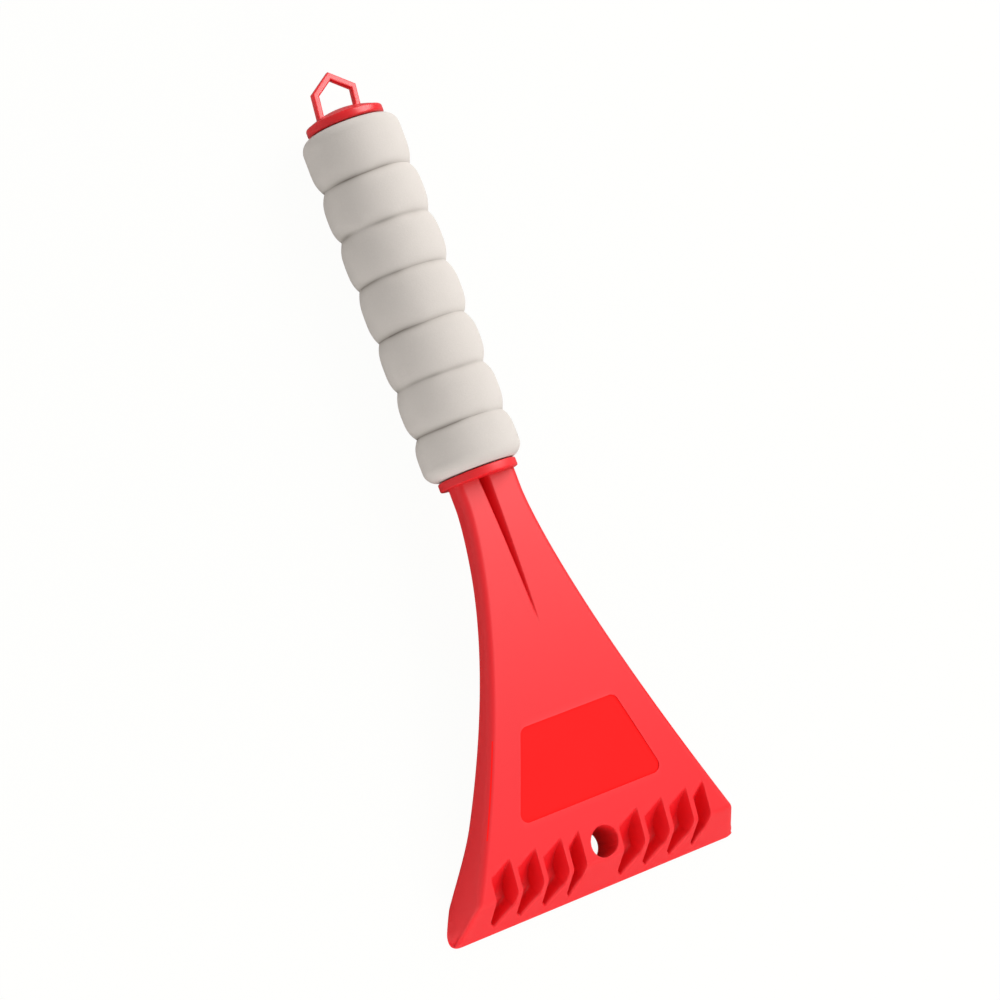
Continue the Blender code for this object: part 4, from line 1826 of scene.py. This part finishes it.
@dataclass
class Studio:
    """A pale floor, an even bright room and large soft lights."""

    world_strength: float = 0.42
    world_gloss: float = 0.2
    backdrop: Colour = (1.0, 1.0, 0.988)
    contact: float = 0.03
    floor_tone: Colour = (0.72, 0.72, 0.71)
    floor_gloss_tone: Colour = (0.25, 0.25, 0.25)
    floor_reach: float = 3.0
    floor_gap: float = 0.05 * MM
    lights: tuple[SoftLight, ...] = (
        SoftLight("key", (0.72, 0.62, 0.9), 1.0, 0.8, 10.5),
        SoftLight("edge_fill", (0.15, -1.0, 0.55), 0.42, 0.3, 1.5, (0.0, -0.13, 0.01), reflects=False),
        SoftLight("side_fill", (-1.0, -0.1, 0.3), 0.8, 0.7, 0.9, reflects=False),
        SoftLight("blade_fill", (-1.0, -0.45, 0.25), 0.3, 0.2, 0.3, (-0.03, -0.10, 0.0), reflects=False),
        SoftLight("gloss", (0.51, 0.03, 0.86), 1.2, 0.9, 4.0, (0.0, -0.08, 0.02), lights_up=False),
    )

    def build_world(self) -> None:
        """White for the camera and an even glow for everything else."""
        world = bpy.data.worlds.new("room")
        bpy.context.scene.world = world
        world.use_nodes = True
        nodes = world.node_tree.nodes
        links = world.node_tree.links
        nodes.clear()
        glow = nodes.new("ShaderNodeBackground")
        glow.inputs["Color"].default_value = (1.0, 1.0, 1.0, 1.0)
        seen = nodes.new("ShaderNodeBackground")
        seen.inputs["Color"].default_value = (*self.backdrop, 1.0)
        seen.inputs["Strength"].default_value = 1.0
        path = nodes.new("ShaderNodeLightPath")
        strength = nodes.new("ShaderNodeMapRange")
        strength.inputs["To Min"].default_value = self.world_strength
        strength.inputs["To Max"].default_value = self.world_gloss
        links.new(path.outputs["Is Glossy Ray"], strength.inputs["Value"])
        links.new(strength.outputs["Result"], glow.inputs["Strength"])
        choose = nodes.new("ShaderNodeMixShader")
        leave = nodes.new("ShaderNodeOutputWorld")
        links.new(path.outputs["Is Camera Ray"], choose.inputs["Fac"])
        links.new(glow.outputs["Background"], choose.inputs[1])
        links.new(seen.outputs["Background"], choose.inputs[2])
        links.new(choose.outputs["Shader"], leave.inputs["Surface"])

    def build_floor(self) -> None:
        """A pale floor that glows for the camera and keeps a hint of contact shade."""
        low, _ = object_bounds()
        corners = [(-1, -1), (1, -1), (1, 1), (-1, 1)]
        level = low.z - self.floor_gap
        points = np.array([(self.floor_reach * x, self.floor_reach * y, level) for x, y in corners])
        floor = mesh_object("floor", points, [(0, 1, 2, 3)])
        material, matte = new_material("pale_floor")
        nodes = material.node_tree.nodes
        links = material.node_tree.links
        matte.inputs["Roughness"].default_value = 0.95
        tone = nodes.new("ShaderNodeMix")
        tone.data_type = "RGBA"
        tone.inputs["A"].default_value = (*self.floor_tone, 1.0)
        tone.inputs["B"].default_value = (*self.floor_gloss_tone, 1.0)
        glow = nodes.new("ShaderNodeEmission")
        glow.inputs["Color"].default_value = (*self.backdrop, 1.0)
        mostly = nodes.new("ShaderNodeMixShader")
        mostly.inputs["Fac"].default_value = 1.0 - self.contact
        choose = nodes.new("ShaderNodeMixShader")
        path = nodes.new("ShaderNodeLightPath")
        links.new(path.outputs["Is Glossy Ray"], tone.inputs["Factor"])
        links.new(tone.outputs["Result"], matte.inputs["Base Color"])
        links.new(matte.outputs["BSDF"], mostly.inputs[1])
        links.new(glow.outputs["Emission"], mostly.inputs[2])
        links.new(path.outputs["Is Camera Ray"], choose.inputs["Fac"])
        links.new(matte.outputs["BSDF"], choose.inputs[1])
        links.new(mostly.outputs["Shader"], choose.inputs[2])
        links.new(choose.outputs["Shader"], nodes["Material Output"].inputs["Surface"])
        floor.data.materials.append(material)
        floor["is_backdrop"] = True

    def build(self) -> None:
        """Make the room."""
        self.build_world()
        self.build_floor()
        for light in self.lights:
            light.build()
        bpy.context.scene.view_settings.view_transform = "Standard"
        LOG.info("studio: %d lights", len(self.lights))


@dataclass(frozen=True)
class Viewpoint:
    """The camera that looks at the tool from above and from its side."""

    aim: Place = (0.0056, -0.0096, 0.018)
    distance: float = 1.1329
    azimuth: float = -86.27
    elevation: float = 59.31
    roll: float = -66.92
    lens: float = 126.0
    near: float = 0.05

    def build(self) -> None:
        """Make the camera."""
        azimuth, elevation, roll = (math.radians(v) for v in (self.azimuth, self.elevation, self.roll))
        level = math.cos(elevation)
        towards = Vector((math.sin(azimuth) * level, -math.cos(azimuth) * level, math.sin(elevation)))
        upright = (Vector((0.0, 0.0, 1.0)) - towards * towards.z).normalized()
        sideways = upright.cross(towards)
        up = upright * math.cos(roll) + sideways * math.sin(roll)
        across = up.cross(towards)
        turn = Matrix((across, up, towards)).transposed().to_4x4()
        data = bpy.data.cameras.new("viewpoint")
        data.lens = self.lens
        data.clip_start = self.near
        made = bpy.data.objects.new("viewpoint", data)
        bpy.context.scene.collection.objects.link(made)
        made.matrix_world = Matrix.Translation(Vector(self.aim) + towards * self.distance) @ turn
        bpy.context.scene.camera = made


def main() -> None:
    """Build every piece, the studio and the camera."""
    logging.basicConfig(level=logging.INFO, format="%(name)s %(message)s")
    effects = Effects()
    plastic = MouldedPlastic("head_plastic").build(effects)
    panel = MouldedPlastic(
        "panel_plastic", tint=(0.965, 0.012, 0.012), shade=(0.95, 0.010, 0.010), specular=0.06, edge_highlight_share=0.0
    ).build(effects)
    cap_plastic = MouldedPlastic("cap_plastic", roughness=0.3, specular=0.6).build(effects)
    foam = FoamRubber("sleeve_foam").build(effects)
    metal = DrawnMetal("tube_metal").build(effects)

    axes = HandleAxes.from_tube()
    grip_low, grip_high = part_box(Node.GRIP.value)
    cap_low, cap_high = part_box(Node.CAP.value)
    shape = HeadShape.from_frame(axes)
    sleeve_end = SEAT_GAP + axes.tube_length
    cap_seat = sleeve_end + SEAT_GAP
    ScraperBlade(axes, shape).build(plastic, panel)
    HeadCollar(axes).build(plastic)
    FoamGrip(axes, SEAT_GAP, sleeve_end, (grip_high.x - grip_low.x) / 2).build(foam)
    flange = CapFlange(axes, cap_seat, (cap_high.x - cap_low.x) / 2)
    flange.build(cap_plastic)
    HangingLoop(axes, cap_seat + flange.rim).build(cap_plastic)
    HandleTube().dress(metal)
    Studio().build()
    Viewpoint().build()


if __name__ == "__main__":
    main()
